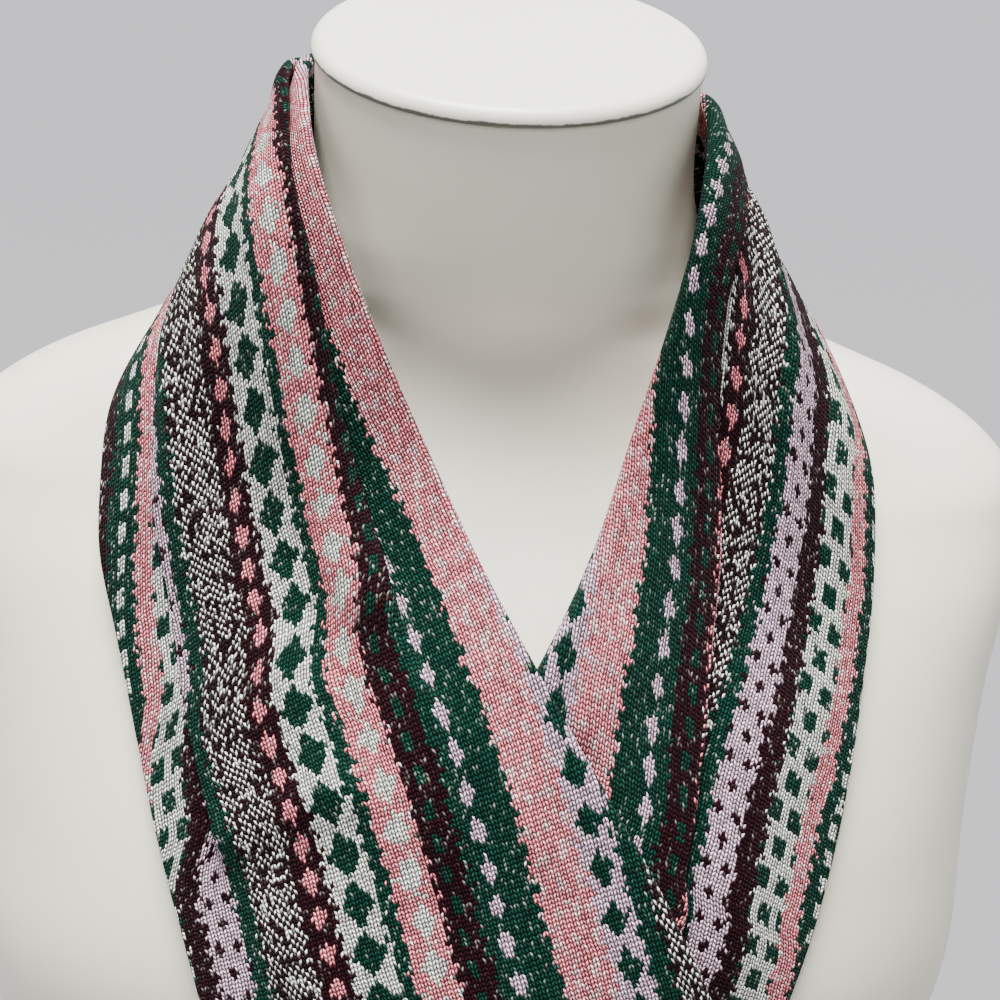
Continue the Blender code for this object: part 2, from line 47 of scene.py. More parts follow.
FORM_COLUMNS = ("height", "half_width", "front", "back", "centre_y", "squareness", "lean")
FORM_ROWS = (
    (0.000, 0.156, 0.098, 0.098, 0.000, 2.30, 0),
    (0.060, 0.165, 0.103, 0.106, 0.000, 2.30, 0),
    (0.120, 0.161, 0.099, 0.104, 0.000, 2.30, 0),
    (0.200, 0.137, 0.088, 0.084, 0.000, 2.30, 0),
    (0.270, 0.120, 0.083, 0.072, 0.000, 2.30, 0),
    (0.340, 0.127, 0.094, 0.076, 0.000, 2.30, 0),
    (0.410, 0.150, 0.113, 0.086, 0.000, 2.35, 0),
    (0.450, 0.158, 0.119, 0.090, 0.000, 2.40, 0),
    (0.490, 0.159, 0.113, 0.091, 0.002, 2.40, 0),
    (0.530, 0.163, 0.098, 0.089, 0.005, 2.40, 0),
    (0.560, 0.169, 0.083, 0.084, 0.008, 2.40, 0),
    (0.585, 0.170, 0.070, 0.076, 0.011, 2.35, 0),
    (0.603, 0.159, 0.061, 0.068, 0.012, 2.30, 0),
    (0.617, 0.137, 0.056, 0.063, 0.011, 2.20, 0),
    (0.629, 0.107, 0.053, 0.060, 0.008, 2.10, 2),
    (0.641, 0.081, 0.052, 0.058, 0.004, 2.00, 5),
    (0.655, 0.066, 0.053, 0.056, -0.002, 2.00, 9),
    (0.672, 0.059, 0.054, 0.054, -0.008, 2.00, 13),
    (0.692, 0.0565, 0.054, 0.053, -0.014, 2.00, 16),
    (0.715, 0.0565, 0.054, 0.053, -0.020, 2.00, 18),
)
FORM_SEGMENTS = 160
FORM_TOP = FORM_ROWS[-1][0]
SHOULDER_LINE = 0.55
RINGS_TO_EACH_LINE = 120
BASE_EDGE_RADIUS = 0.0025
NECK_EDGE_RADIUS = 0.0009


def curve_through(places, values, at):
    """A smooth curve through rows of values at the given places, read at other places, with no overshoot."""
    places, values = np.asarray(places, float), np.asarray(values, float)
    steps = np.diff(places)
    rises = np.diff(values, axis=0) / steps[:, None]
    slopes = np.concatenate([rises[:1], (rises[1:] + rises[:-1]) / 2, rises[-1:]])
    turning = rises[1:] * rises[:-1] <= 0
    slopes[1:-1][turning] = 0
    low = np.minimum(abs(rises[1:]), abs(rises[:-1])) * 3
    slopes[1:-1] = np.clip(slopes[1:-1], -low, low)
    at = np.clip(np.atleast_1d(at), places[0], places[-1])
    k = np.clip(np.searchsorted(places, at) - 1, 0, len(places) - 2)
    t, h = ((at - places[k]) / steps[k])[:, None], steps[k][:, None]
    return (
        (1 + 2 * t) * (1 - t) ** 2 * values[k]
        + t * (1 - t) ** 2 * h * slopes[k]
        + t * t * (3 - 2 * t) * values[k + 1]
        + t * t * (t - 1) * h * slopes[k + 1]
    )


def form_ring(height, grow=0.0, rise=0.0, segments=FORM_SEGMENTS):
    """One ring of the form. grow widens it, and rise lifts it along the neck's own axis."""
    row = dict(zip(FORM_COLUMNS, curve_through([r[0] for r in FORM_ROWS], FORM_ROWS, height)[0]))
    turn = np.arange(segments) * 2 * math.pi / segments
    power, lean = 2 / row["squareness"], math.radians(row["lean"])
    across = np.sign(np.cos(turn)) * abs(np.cos(turn)) ** power
    along = np.sign(np.sin(turn)) * abs(np.sin(turn)) ** power
    y = np.where(along < 0, row["front"] + grow, row["back"] + grow) * along
    return np.stack(
        [
            (row["half_width"] + grow) * across,
            row["centre_y"] + y * math.cos(lean) - rise * math.sin(lean),
            row["height"] + y * math.sin(lean) + rise * math.cos(lean),
        ],
        axis=1,
    )


def stacked_rings(rings):
    """Points and faces of a closed body lofted through rings, the lowest first."""
    count = len(rings[0])
    faces = [
        (j * count + i, j * count + (i + 1) % count, (j + 1) * count + (i + 1) % count, (j + 1) * count + i)
        for j in range(len(rings) - 1)
        for i in range(count)
    ]
    faces.append(tuple(reversed(range(count))))
    faces.append(tuple((len(rings) - 1) * count + i for i in range(count)))
    return np.concatenate(rings), faces


def make_piece(name, points, faces, material, sharp=50):
    """A smooth-shaded object from points and faces, at the origin."""
    mesh = bpy.data.meshes.new(name)
    mesh.from_pydata([tuple(p) for p in points], [], [tuple(f) for f in faces])
    mesh.shade_smooth()
    mesh.set_sharp_from_angle(angle=math.radians(sharp))
    mesh.materials.append(material)
    piece = bpy.data.objects.new(name, mesh)
    bpy.context.scene.collection.objects.link(piece)
    return piece


def dye(red, green, blue):
    """A colour as its screen values from 0 to 255, made linear for the shader."""
    parts = [c / 255 for c in (red, green, blue)]
    return (*(c / 12.92 if c <= 0.04045 else ((c + 0.055) / 1.055) ** 2.4 for c in parts), 1)


class Signal:
    """A value on its way through a node tree, which adds, multiplies and divides as a number does."""

    def __init__(self, wiring, socket):
        self.wiring, self.socket = wiring, socket

    def __getitem__(self, out):
        """Another output of the same node, by its number or name."""
        return Signal(self.wiring, self.socket.node.outputs[out])

    def __add__(self, other):
        return self.wiring.sum("ADD", self, other)

    def __sub__(self, other):
        return self.wiring.sum("SUBTRACT", self, other)

    def __rsub__(self, other):
        return self.wiring.sum("SUBTRACT", other, self)

    def __mul__(self, other):
        return self.wiring.sum("MULTIPLY", self, other)

    def __truediv__(self, other):
        return self.wiring.sum("DIVIDE", self, other)


class Wiring:
    """A node tree whose nodes are laid one by one. Signals, numbers and colours all do as inputs."""

    def __init__(self, tree):
        self.tree = tree

    def feed(self, socket, value):
        if isinstance(value, Signal):
            self.tree.links.new(value.socket, socket)
        else:
            socket.default_value = value

    def node(self, kind, inputs=(), out=0, **settings):
        node = self.tree.nodes.new(kind if "Node" in kind else "ShaderNode" + kind)
        for key, value in settings.items():
            setattr(node, key, value)
        for key, value in dict(inputs).items():
            self.feed(node.inputs[key], value)
        return Signal(self, node.outputs[out])

    def sum(self, operation, *values):
        return self.node("Math", enumerate(values), operation=operation)

    def vector(self, operation, *values, out=0):
        return self.node("VectorMath", enumerate(values), out, operation=operation)

    def between(self, value, low, high, first=0.0, last=1.0, **settings):
        """Where a value lies between low and high, as a number from first to last."""
        return self.node("MapRange", {0: value, 1: low, 2: high, 3: first, 4: last}, **settings)


class Recipe(Wiring):
    """A material, as the nodes that colour it and shape its surface."""

    def __init__(self, name):
        self.material = bpy.data.materials.new(name)
        self.material.use_nodes = True
        super().__init__(self.material.node_tree)

    def noise(self, place, scale, detail, roughness=0.5, **settings):
        inputs = {"Vector": place, "Scale": scale, "Detail": detail, "Roughness": roughness}
        return self.node("TexNoise", inputs, **settings)

    def blend(self, share, one, other, mode="MIX"):
        return self.node("Mix", {0: share, 6: one, 7: other}, out=2, data_type="RGBA", blend_type=mode)

    def shade(self, colour, tone):
        """A colour made darker or lighter by a number."""
        return self.blend(1.0, colour, self.node("CombineColor", {0: tone, 1: tone, 2: tone}), "MULTIPLY")

    def relief(self, height, depth, strength):
        return self.node("Bump", {"Strength": strength, "Distance": depth, "Height": height})

    def surface(self, **values):
        for key, value in values.items():
            self.feed(self.tree.nodes["Principled BSDF"].inputs[key.replace("_", " ")], value)


def satin_paint(name, cloud_scale):
    """White paint with a fine skin, and with it the place on the form and the clouds in its tone."""
    recipe = Recipe(name)
    place = recipe.node("TexCoord", out="Object")
    recipe.surface(Normal=recipe.relief(recipe.noise(place, 420.0, 2.0), 0.0002, 0.25))
    return recipe, place, recipe.noise(place, cloud_scale, 3.0)


def painted_plastic():
    """The form's satin white, a little uneven in tone and in gloss where hands have been."""
    recipe, place, cloud = satin_paint("form_white", 9.0)
    handled = recipe.noise(place, 38.0, 4.0, 0.6)
    colour = recipe.blend(recipe.between(cloud, 0.35, 0.65), dye(231, 226, 203), dye(239, 235, 215))
    recipe.surface(Base_Color=colour, Roughness=recipe.between(handled, 0.3, 0.7, 0.27, 0.36))
    return recipe.material


form_white = painted_plastic()
form_heights = np.concatenate(
    [
        np.linspace(0, SHOULDER_LINE, RINGS_TO_EACH_LINE),
        np.linspace(SHOULDER_LINE, FORM_TOP, RINGS_TO_EACH_LINE)[1:],
    ]
)
base_edge = [
    form_ring(0, -BASE_EDGE_RADIUS * (1 - math.sin(a)), BASE_EDGE_RADIUS * (1 - math.cos(a)))
    for a in (0, 0.5, 1.0)
]
neck_edge = [
    form_ring(FORM_TOP, -NECK_EDGE_RADIUS * (1 - math.cos(a)), -NECK_EDGE_RADIUS * (1 - math.sin(a)))
    for a in (0.5, 1.0, 1.5)
]
form_rings = [*base_edge, *(form_ring(h) for h in form_heights[1:-1]), *neck_edge]
bust_form = make_piece("bust_form_skin", *stacked_rings(form_rings), form_white, sharp=80)
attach(bust_form, "root")
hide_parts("bust_form")

# ---- The neck cap ----------------------------------------------------------------------------------------
# A separate disc of the same painted plastic closes the cut neck. It is pressed into the neck, and its rim
# stands a little proud, with a thin dusty line round it where it meets the neck.

CAP_THICKNESS = 0.005
CAP_OVERHANG = 0.0012
CAP_GAP = 0.0003
CAP_ROUND = 0.0042
CAP_ROUND_STEPS = 10
DUST_HEIGHT = (0.0013, 0.0017)
DUST_RAGGED = (-0.0003, 0.0005)


def cap_rings():
    """Rings of the cap from its underside up over its rounded rim to a very slightly domed top."""
    rim = CAP_OVERHANG
    steps = [(rim - 0.0025, CAP_GAP), (rim - 0.0007, CAP_GAP), (rim - 0.0002, CAP_GAP + 0.0002)]
    for k in range(CAP_ROUND_STEPS + 1):
        turn = k / CAP_ROUND_STEPS * math.pi / 2
        rise = CAP_GAP + CAP_THICKNESS - CAP_ROUND * (1 - math.sin(turn))
        steps.append((rim - CAP_ROUND * (1 - math.cos(turn)), rise))
    steps += [(-0.006, CAP_GAP + CAP_THICKNESS + 0.0001), (-0.020, CAP_GAP + CAP_THICKNESS + 0.0003)]
    steps += [(-0.040, CAP_GAP + CAP_THICKNESS + 0.0004), (-0.052, CAP_GAP + CAP_THICKNESS + 0.0004)]
    return [form_ring(FORM_TOP, grow, rise) for grow, rise in steps]


def cap_plastic():
    """The form's paint, with dust caught in the seam under the rim."""
    recipe, place, cloud = satin_paint("cap_white", 14.0)
    # Height above the neck's cut along its own axis, which leans forward.
    lean, centre_y = math.radians(FORM_ROWS[-1][6]), FORM_ROWS[-1][4]
    parts = recipe.node("SeparateXYZ", {0: place})
    above = (parts[2] - FORM_TOP) * math.cos(lean) - (parts[1] - centre_y) * math.sin(lean)
    dust = recipe.noise(place, 120.0, 4.0, 0.7)
    seam = recipe.between(above - recipe.between(dust, 0.3, 0.7, *DUST_RAGGED), *DUST_HEIGHT, 1.0, 0.0)
    paint = recipe.blend(cloud, dye(237, 234, 215), dye(243, 241, 225))
    recipe.surface(Base_Color=recipe.blend(seam, paint, dye(88, 92, 78)), Roughness=0.33)
    return recipe.material


neck_cap = make_piece("neck_cap_disc", *stacked_rings(cap_rings()), cap_plastic(), sharp=60)
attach(neck_cap, "root")
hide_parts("neck_cap")

# ---- The scarf -------------------------------------------------------------------------------------------
# One long strip of fine knit, 20 cm wide, with its two side edges turned in. It goes round the back of the
# neck, comes down over both shoulders, crosses on the chest and hangs in two tails. Nothing fastens it.

CLOTH_WIDTH = 0.20
WALL = 0.0010
FOLD_RADIUS = 0.0010
LEAST_FOLD = 0.0025

# How far the sheet keeps from the form and from the half beneath it, how it hangs and waves below the chest,
# and how finely it is worked out. STRIPS has the mesh's columns in each strip of cloth from fold to fold.
FORM_CLEARANCE = 0.0009
FORM_EXTRA_CLEARANCE = 0.0006
LAYER_CLEARANCE = 0.0015
LIFT_SLOPE = 0.14
SETTLE_REACH = 0.010
HANG_START, HANG_SLOPE = 0.33, 0.03
WAVE_DEPTH, WAVE_PITCH, WAVE_START, WAVE_GROWTH = 0.007, 0.058, 0.44, 0.12
STRIP_LENGTH = 0.0053
BACK_EASE = 0.08
FINER = 2
STATION_STEP = 0.005
EVEN_ROWS, SHEET_BLUR = 12, 2
CLEARING_TURNS = 5
LIFT_SPREAD, LIFT_BLUR = 3, 12
AHEAD = 0.4
SECTION_POINTS = 1201
LEAST_STRIP = 0.0003
SETTLE_BINS = 180
STRIPS = {"flap": 6, "turn in": 6, "rim": 8, "turn up": 5, "tuck": 3, "turn down": 5, "top": 29}
STRIPS |= {"ridge": 6, "pleat": 3, "back turn": 6, "side": 18, "turn out": 6, "under": 6}

# Where the folded band's two long edges run, from the back of the neck to each end, and how it is folded
# there: flap is the cloth turned under at the inner edge, roll that turn's size beside a plain fold, ridge
# the pleat's place as a share of the band's width, and pleat how deep that pleat is.
BACK_ROW = (0.000, 0.037, 0.708, 0.000, 0.078, 0.608, 0.014, 2.6, 0.48, 0.010)
OVER_ROWS = (
    (-0.0375, 0.0235, 0.712, -0.054, 0.071, 0.613, 0.020, 2.2, 0.55, 0.010),
    (-0.0563, -0.009, 0.713, -0.082, 0.046, 0.630, 0.026, 1.8, 0.64, 0.012),
    (-0.0550, -0.033, 0.705, -0.093, 0.011, 0.637, 0.030, 1.4, 0.66, 0.013),
    (-0.0520, -0.045, 0.691, -0.105, -0.024, 0.622, 0.030, 1.2, 0.69, 0.013),
    (-0.045, -0.052, 0.672, -0.114, -0.044, 0.601, 0.030, 1.0, 0.73, 0.013),
    (-0.035, -0.054, 0.648, -0.114, -0.060, 0.575, 0.030, 1.0, 0.78, 0.012),
    (-0.018, -0.055, 0.612, -0.107, -0.075, 0.548, 0.030, 1.0, 0.82, 0.010),
    (0.001, -0.070, 0.580, -0.099, -0.088, 0.520, 0.029, 1.0, 0.84, 0.008),
    (0.018, -0.085, 0.556, -0.092, -0.100, 0.497, 0.026, 1.0, 0.85, 0.005),
    (0.040, -0.101, 0.524, -0.084, -0.110, 0.474, 0.018, 1.0, 0.85, 0.0025),
    (0.058, -0.110, 0.497, -0.076, -0.116, 0.452, 0.010, 1.0, 0.78, 0.0025),
    (0.075, -0.115, 0.464, -0.066, -0.121, 0.424, 0.005, 1.0, 0.77, 0.0025),
    (0.088, -0.121, 0.425, -0.054, -0.126, 0.392, 0.0025, 1.0, 0.76, 0.0025),
    (0.096, -0.126, 0.380, -0.047, -0.128, 0.360, 0.0025, 1.0, 0.75, 0.0025),
    (0.101, -0.128, 0.330, -0.044, -0.130, 0.318, 0.0025, 1.0, 0.74, 0.0025),
    (0.105, -0.129, 0.270, -0.043, -0.130, 0.262, 0.0025, 1.0, 0.73, 0.0025),
    (0.108, -0.129, 0.205, -0.045, -0.130, 0.200, 0.0025, 1.0, 0.72, 0.0025),
    (0.111, -0.129, 0.150, -0.048, -0.130, 0.150, 0.0025, 1.0, 0.72, 0.0025),
)
UNDER_ROWS = (
    (0.0375, 0.0235, 0.708, 0.054, 0.071, 0.613, 0.030, 2.4, 0.34, 0.012),
    (0.0563, -0.008, 0.706, 0.082, 0.046, 0.630, 0.044, 2.2, 0.25, 0.016),
    (0.0560, -0.031, 0.699, 0.095, 0.010, 0.636, 0.048, 2.2, 0.29, 0.019),
    (0.0540, -0.042, 0.686, 0.106, -0.026, 0.618, 0.051, 2.2, 0.24, 0.016),
    (0.052, -0.046, 0.667, 0.114, -0.047, 0.596, 0.051, 2.2, 0.20, 0.013),
    (0.046, -0.047, 0.640, 0.115, -0.060, 0.570, 0.044, 3.0, 0.27, 0.014),
    (0.036, -0.054, 0.607, 0.113, -0.072, 0.545, 0.034, 3.0, 0.40, 0.018),
    (0.027, -0.068, 0.581, 0.110, -0.083, 0.522, 0.027, 3.0, 0.46, 0.021),
    (0.014, -0.084, 0.555, 0.106, -0.092, 0.500, 0.018, 3.0, 0.53, 0.024),
    (-0.004, -0.098, 0.525, 0.100, -0.100, 0.476, 0.005, 3.0, 0.60, 0.026),
    (-0.024, -0.110, 0.497, 0.093, -0.106, 0.455, 0.0025, 2.0, 0.64, 0.022),
    (-0.044, -0.118, 0.462, 0.084, -0.114, 0.425, 0.0025, 1.0, 0.66, 0.016),
    (-0.060, -0.122, 0.424, 0.072, -0.120, 0.394, 0.0025, 1.0, 0.66, 0.010),
    (-0.070, -0.124, 0.380, 0.061, -0.122, 0.362, 0.0025, 1.0, 0.66, 0.006),
    (-0.076, -0.124, 0.330, 0.055, -0.122, 0.320, 0.0025, 1.0, 0.62, 0.0025),
    (-0.080, -0.124, 0.270, 0.052, -0.122, 0.264, 0.0025, 1.0, 0.62, 0.0025),
    (-0.085, -0.124, 0.215, 0.052, -0.122, 0.212, 0.0025, 1.0, 0.62, 0.0025),
    (-0.090, -0.124, 0.170, 0.054, -0.122, 0.170, 0.0025, 1.0, 0.62, 0.0025),
)

# Soft creases on the outer layer: the line of each one's crest as (station, flat place), how far it slopes
# down towards the inner edge and towards the outer edge, and its height. Stations run from the back of the
# neck to each end.
OVER_CREASES = (
    (((0.120, 0.044), (0.176, 0.052), (0.212, 0.058), (0.260, 0.062)), 0.0060, 0.0110, 0.0022),
    (((0.110, 0.066), (0.160, 0.072), (0.210, 0.076), (0.270, 0.082), (0.330, 0.088)), 0.0050, 0.0100, 0.0026),
    (((0.090, 0.086), (0.140, 0.092), (0.190, 0.098), (0.250, 0.104), (0.310, 0.106)), 0.0045, 0.0080, 0.0024),
    (((0.215, 0.053), (0.250, 0.056), (0.300, 0.060), (0.350, 0.064)), 0.0040, 0.0140, 0.0030),
    (((0.300, 0.118), (0.350, 0.112), (0.400, 0.104), (0.450, 0.098)), 0.0110, 0.0070, 0.0030),
    (((0.170, 0.126), (0.220, 0.132), (0.290, 0.138), (0.340, 0.138)), 0.0060, 0.0050, 0.0022),
    (((0.300, 0.038), (0.350, 0.046), (0.410, 0.060), (0.470, 0.070)), 0.0070, 0.0120, 0.0026),
    (((0.430, 0.030), (0.520, 0.036), (0.620, 0.030)), 0.0120, 0.0080, 0.0024),
    (((0.480, 0.125), (0.570, 0.118), (0.680, 0.120)), 0.0110, 0.0110, 0.0026),
    (((-0.01, 0.066), (0.040, 0.060), (0.085, 0.056)), 0.0060, 0.0060, 0.0024),
    (((0.010, 0.104), (0.060, 0.108), (0.110, 0.112)), 0.0070, 0.0050, 0.0024),
)
UNDER_CREASES = (
    (((0.060, 0.112), (0.120, 0.116), (0.180, 0.124), (0.240, 0.130)), 0.0040, 0.0070, 0.0030),
    (((0.110, 0.138), (0.170, 0.146), (0.240, 0.150), (0.300, 0.150)), 0.0045, 0.0060, 0.0024),
    (((0.170, 0.058), (0.220, 0.050), (0.270, 0.040), (0.320, 0.030)), 0.0060, 0.0080, 0.0018),
    (((0.230, 0.144), (0.290, 0.138), (0.350, 0.140)), 0.0080, 0.0060, 0.0024),
    (((0.350, 0.060), (0.430, 0.056), (0.520, 0.062)), 0.0110, 0.0110, 0.0024),
    (((0.420, 0.130), (0.520, 0.124), (0.640, 0.128)), 0.0110, 0.0110, 0.0028),
    (((-0.01, 0.084), (0.030, 0.088), (0.080, 0.094)), 0.0060, 0.0060, 0.0024),
)
CREASE_FADE = 0.3
FOLD_MARGIN, RIDGE_MARGIN = 0.005, 0.008
RIPPLE = 0.0005
NO_PLEAT = 0.001

# On the over side the outer part of the band is tucked over the rim beside the neck, and the tuck fades out
# on the chest: station, how far the tuck's edge is from the inner edge, and how deep the tuck is.
OVER_TUCK = (
    (0.000, 0.0120, 0.000),
    (0.050, 0.0080, 0.006),
    (0.090, 0.0040, 0.013),
    (0.115, 0.0035, 0.016),
    (0.150, 0.0070, 0.015),
    (0.176, 0.0100, 0.0125),
    (0.193, 0.0135, 0.0105),
    (0.212, 0.0180, 0.0082),
    (0.230, 0.0210, 0.0062),
    (0.255, 0.0235, 0.0047),
    (0.300, 0.0260, 0.0020),
    (0.700, 0.0240, 0.000),
)
UNDER_TUCK = ((0.000, 0.0120, 0.000), (0.700, 0.0120, 0.000))


def smooth_step(x):
    x = np.clip(x, 0, 1)
    return x * x * (3 - 2 * x)


def unit(vectors):
    return vectors / np.maximum(np.linalg.norm(vectors, axis=-1, keepdims=True), 1e-12)


def blurred(field, passes):
    """A grid of numbers or points, each pass averaging every one with its four neighbours."""
    for _ in range(passes):
        padded = np.pad(field, [(1, 1), (1, 1)] + [(0, 0)] * (field.ndim - 2), "edge")
        sides = padded[:-2, 1:-1] + padded[2:, 1:-1] + padded[1:-1, :-2] + padded[1:-1, 2:]
        field = 0.5 * field + 0.125 * sides
    return field


def tree_of(points, faces):
    return BVHTree.FromPolygons([Vector(p) for p in points], [tuple(f) for f in faces])


class Band:
    """One half of the scarf, from the back of the neck to an end: its sheet and its folds."""

    ACROSS = 24 * FINER + 1

    def __init__(self, rows, tuck, creases, form_tree, below=None):
        rows = np.array((BACK_ROW, *rows))
        mirrored = rows[1] * np.where(np.isin(np.arange(len(BACK_ROW)), (0, 3)), -1, 1)
        rows = np.concatenate([mirrored[None], rows])
        middles = (rows[:, 0:3] + rows[:, 3:6]) / 2
        places = np.concatenate([[0], np.cumsum(np.linalg.norm(np.diff(middles, axis=0), axis=1))])
        places -= places[1]
        self.creases, self.tuck_rows = creases, tuck
        self.length = places[-1]
        self.stations = np.linspace(0, self.length, FINER * int(self.length / STATION_STEP) + 1)
        table = curve_through(places, rows, self.stations)
        self.folds = dict(zip(("flap", "roll", "ridge", "pleat"), table[:, 6:].T))
        share = np.linspace(0, 1, self.ACROSS)[None, :, None]
        grid = table[:, None, 0:3] * (1 - share) + table[:, None, 3:6] * share
        self.grid = self.hung(self.lifted(self.cleared(grid, form_tree), below))
        self.measure()

    def measure(self):
        self.normals = self.outward(self.grid)
        spans = np.linalg.norm(np.diff(self.grid, axis=1), axis=2)
        self.across = np.concatenate([np.zeros((len(spans), 1)), np.cumsum(spans, axis=1)], axis=1)

    def meet(self, other):
        """Both halves ease into one shared row at the back of the neck."""
        shared = (self.grid[0] + other.grid[0]) / 2
        for band in (self, other):
            eased = 1 - smooth_step(band.stations / BACK_EASE)
            band.grid = band.grid + (shared - band.grid[0]) * eased[:, None, None]
            band.measure()

    @staticmethod
    def cleared(grid, form_tree):
        """The sheet, evened out and moved out wherever it is too near to the form."""
        for turn in range(CLEARING_TURNS):
            if turn:
                before = grid[EVEN_ROWS:0:-1] * np.array([-1, 1, 1])
                beyond = grid[-1] + (grid[-1] - grid[-2]) * np.arange(1, EVEN_ROWS + 1)[:, None, None]
                grid = blurred(np.concatenate([before, grid, beyond]), SHEET_BLUR * FINER**2)
                grid = grid[EVEN_ROWS:-EVEN_ROWS]
            clearance = FORM_CLEARANCE + (FORM_EXTRA_CLEARANCE if turn < CLEARING_TURNS - 1 else 0)
            for j in range(grid.shape[0]):
                for i in range(grid.shape[1]):
                    place, normal, _, _ = form_tree.find_nearest(Vector(grid[j, i]))
                    near = clearance - (Vector(grid[j, i]) - place).dot(normal)
                    if near > 0:
                        grid[j, i] += np.array(normal) * near
        return grid

    def lifted(self, grid, below):
        """The sheet, moved forward wherever it is behind the cloth that lies below."""
        if below is None:
            return grid
        need = np.zeros(grid.shape[:2])
        for j in range(grid.shape[0]):
            for i in range(grid.shape[1]):
                x, y, z = grid[j, i]
                place = below.ray_cast(Vector((x, -AHEAD, z)), Vector((0, 1, 0)), AHEAD + y)[0]
                if place is not None:
                    need[j, i] = max(0, y - place.y + LAYER_CLEARANCE)
        reach = LIFT_SPREAD * FINER
        padded = np.pad(need, reach, "edge")
        shifts = [(j, i) for j in range(2 * reach + 1) for i in range(2 * reach + 1)]
        widest = np.max([padded[j : j + need.shape[0], i : i + need.shape[1]] for j, i in shifts], axis=0)
        for j in range(len(widest) - 2, -1, -1):
            widest[j] = np.maximum(widest[j], widest[j + 1] - LIFT_SLOPE * self.stations[1])
        grid[..., 1] -= blurred(widest, LIFT_BLUR * FINER**2)
        return grid

    def hung(self, grid):
        """The sheet, hanging plumb from the chest's foremost part and waved below it."""
        step = self.stations[1] - self.stations[0]
        for j in np.flatnonzero(self.stations > HANG_START):
            grid[j, :, 1] = np.minimum(grid[j, :, 1], grid[j - 1, :, 1] + HANG_SLOPE * step)
        grown = smooth_step((self.stations - WAVE_START) / WAVE_GROWTH)[:, None]
        phase = grid[..., 0] / WAVE_PITCH + 0.25 * np.sin(self.stations * 9)[:, None]
        grid[..., 1] -= WAVE_DEPTH * grown * (0.5 + 0.5 * np.sin(2 * math.pi * phase))
        return grid

    @staticmethod
    def outward(grid):
        """The direction away from the form at each point of the sheet."""
        normal = unit(np.cross(np.gradient(grid, axis=0), np.gradient(grid, axis=1)))
        away = ((grid - np.array([0, 0.01, 0])) * np.array([1, 1, 0.3]) * normal).sum(-1)
        return normal if np.median(away) > 0 else -normal

    def at(self, station, reach):
        """Points and outward directions of the sheet at one station, at distances from its inner edge."""
        j = min(max(station / self.length, 0), 1) * (len(self.stations) - 1)
        low = min(int(j), len(self.stations) - 2)
        t = j - low
        grid = self.grid[low] * (1 - t) + self.grid[low + 1] * t
        normals = unit(self.normals[low] * (1 - t) + self.normals[low + 1] * t)
        across = self.across[low] * (1 - t) + self.across[low + 1] * t
        point = np.stack([np.interp(reach, across, grid[:, k]) for k in range(3)], axis=1)
        normal = np.stack([np.interp(reach, across, normals[:, k]) for k in range(3)], axis=1)
        past = np.minimum(reach, 0) + np.maximum(reach - across[-1], 0)
        point += past[:, None] * unit(grid[-1] - grid[0])
        return point, unit(normal)

    def fold(self, name, station):
        return float(np.interp(station, self.stations, self.folds[name]))

    def width(self, station):
        return float(np.interp(station, self.stations, self.across[:, -1]))

    def section(self, station):
        """The folded section at one station: flat places, reach from the inner edge, and height."""
        width, flap, pleat = self.width(station), self.fold("flap", station), self.fold("pleat", station)
        rim, tuck = curve_through([r[0] for r in self.tuck_rows], [r[1:] for r in self.tuck_rows], station)[0]
        flapped, pleated, tucked = (
            float(smooth_step((depth - LEAST_FOLD) / LEAST_FOLD)) for depth in (flap, pleat, tuck)
        )
        hidden = 2 * tuck * tucked
        ridge = flap + hidden + self.fold("ridge", station) * width
        outer = flap * flapped + hidden + width + 2 * pleat * pleated
        arc = math.pi * FOLD_RADIUS
        turns = (
            (flap, -math.pi * flapped, arc * self.fold("roll", station)),
            (flap + rim + tuck * tucked, math.pi * tucked, arc),
            (flap + rim + 2 * tuck * tucked, -math.pi * tucked, arc),
            (ridge, -math.pi * pleated, arc),
            (ridge + pleat, math.pi * pleated, arc),
            (outer, -math.pi, arc),
        )
        flat = np.linspace(0, CLOTH_WIDTH, SECTION_POINTS)
        heading = np.full_like(flat, math.pi * flapped)
        for place, turn, length in turns:
            heading += turn * np.clip((flat - place) / length + 0.5, 0, 1)
        step = flat[1] - flat[0]
        reach = np.concatenate([[0], np.cumsum(np.cos((heading[1:] + heading[:-1]) / 2)) * step])
        height = np.concatenate([[0], np.cumsum(np.sin((heading[1:] + heading[:-1]) / 2)) * step])
        reach -= reach.min()
        reach *= width / reach.max()
        height -= self.settled(reach, height)
        height += WALL / 2
        ends = [0.0]
        for place, _, length in turns:
            first = max(place - length / 2, ends[-1] + LEAST_STRIP)
            ends += [first, max(place + length / 2, ends[-1] + 2 * LEAST_STRIP)]
        ends.append(CLOTH_WIDTH)
        picked = [np.linspace(a, b, n + 1)[:-1] for a, b, n in zip(ends, ends[1:], STRIPS.values())]
        picked = np.concatenate([*picked, [CLOTH_WIDTH]])
        folds = (flap + (rim + hidden) * min(1, tuck / LEAST_FOLD), ridge, pleat * pleated, outer)
        height = np.interp(picked, flat, height) + self.creased(station, picked, hidden, folds)
        return picked, np.interp(picked, flat, reach), height

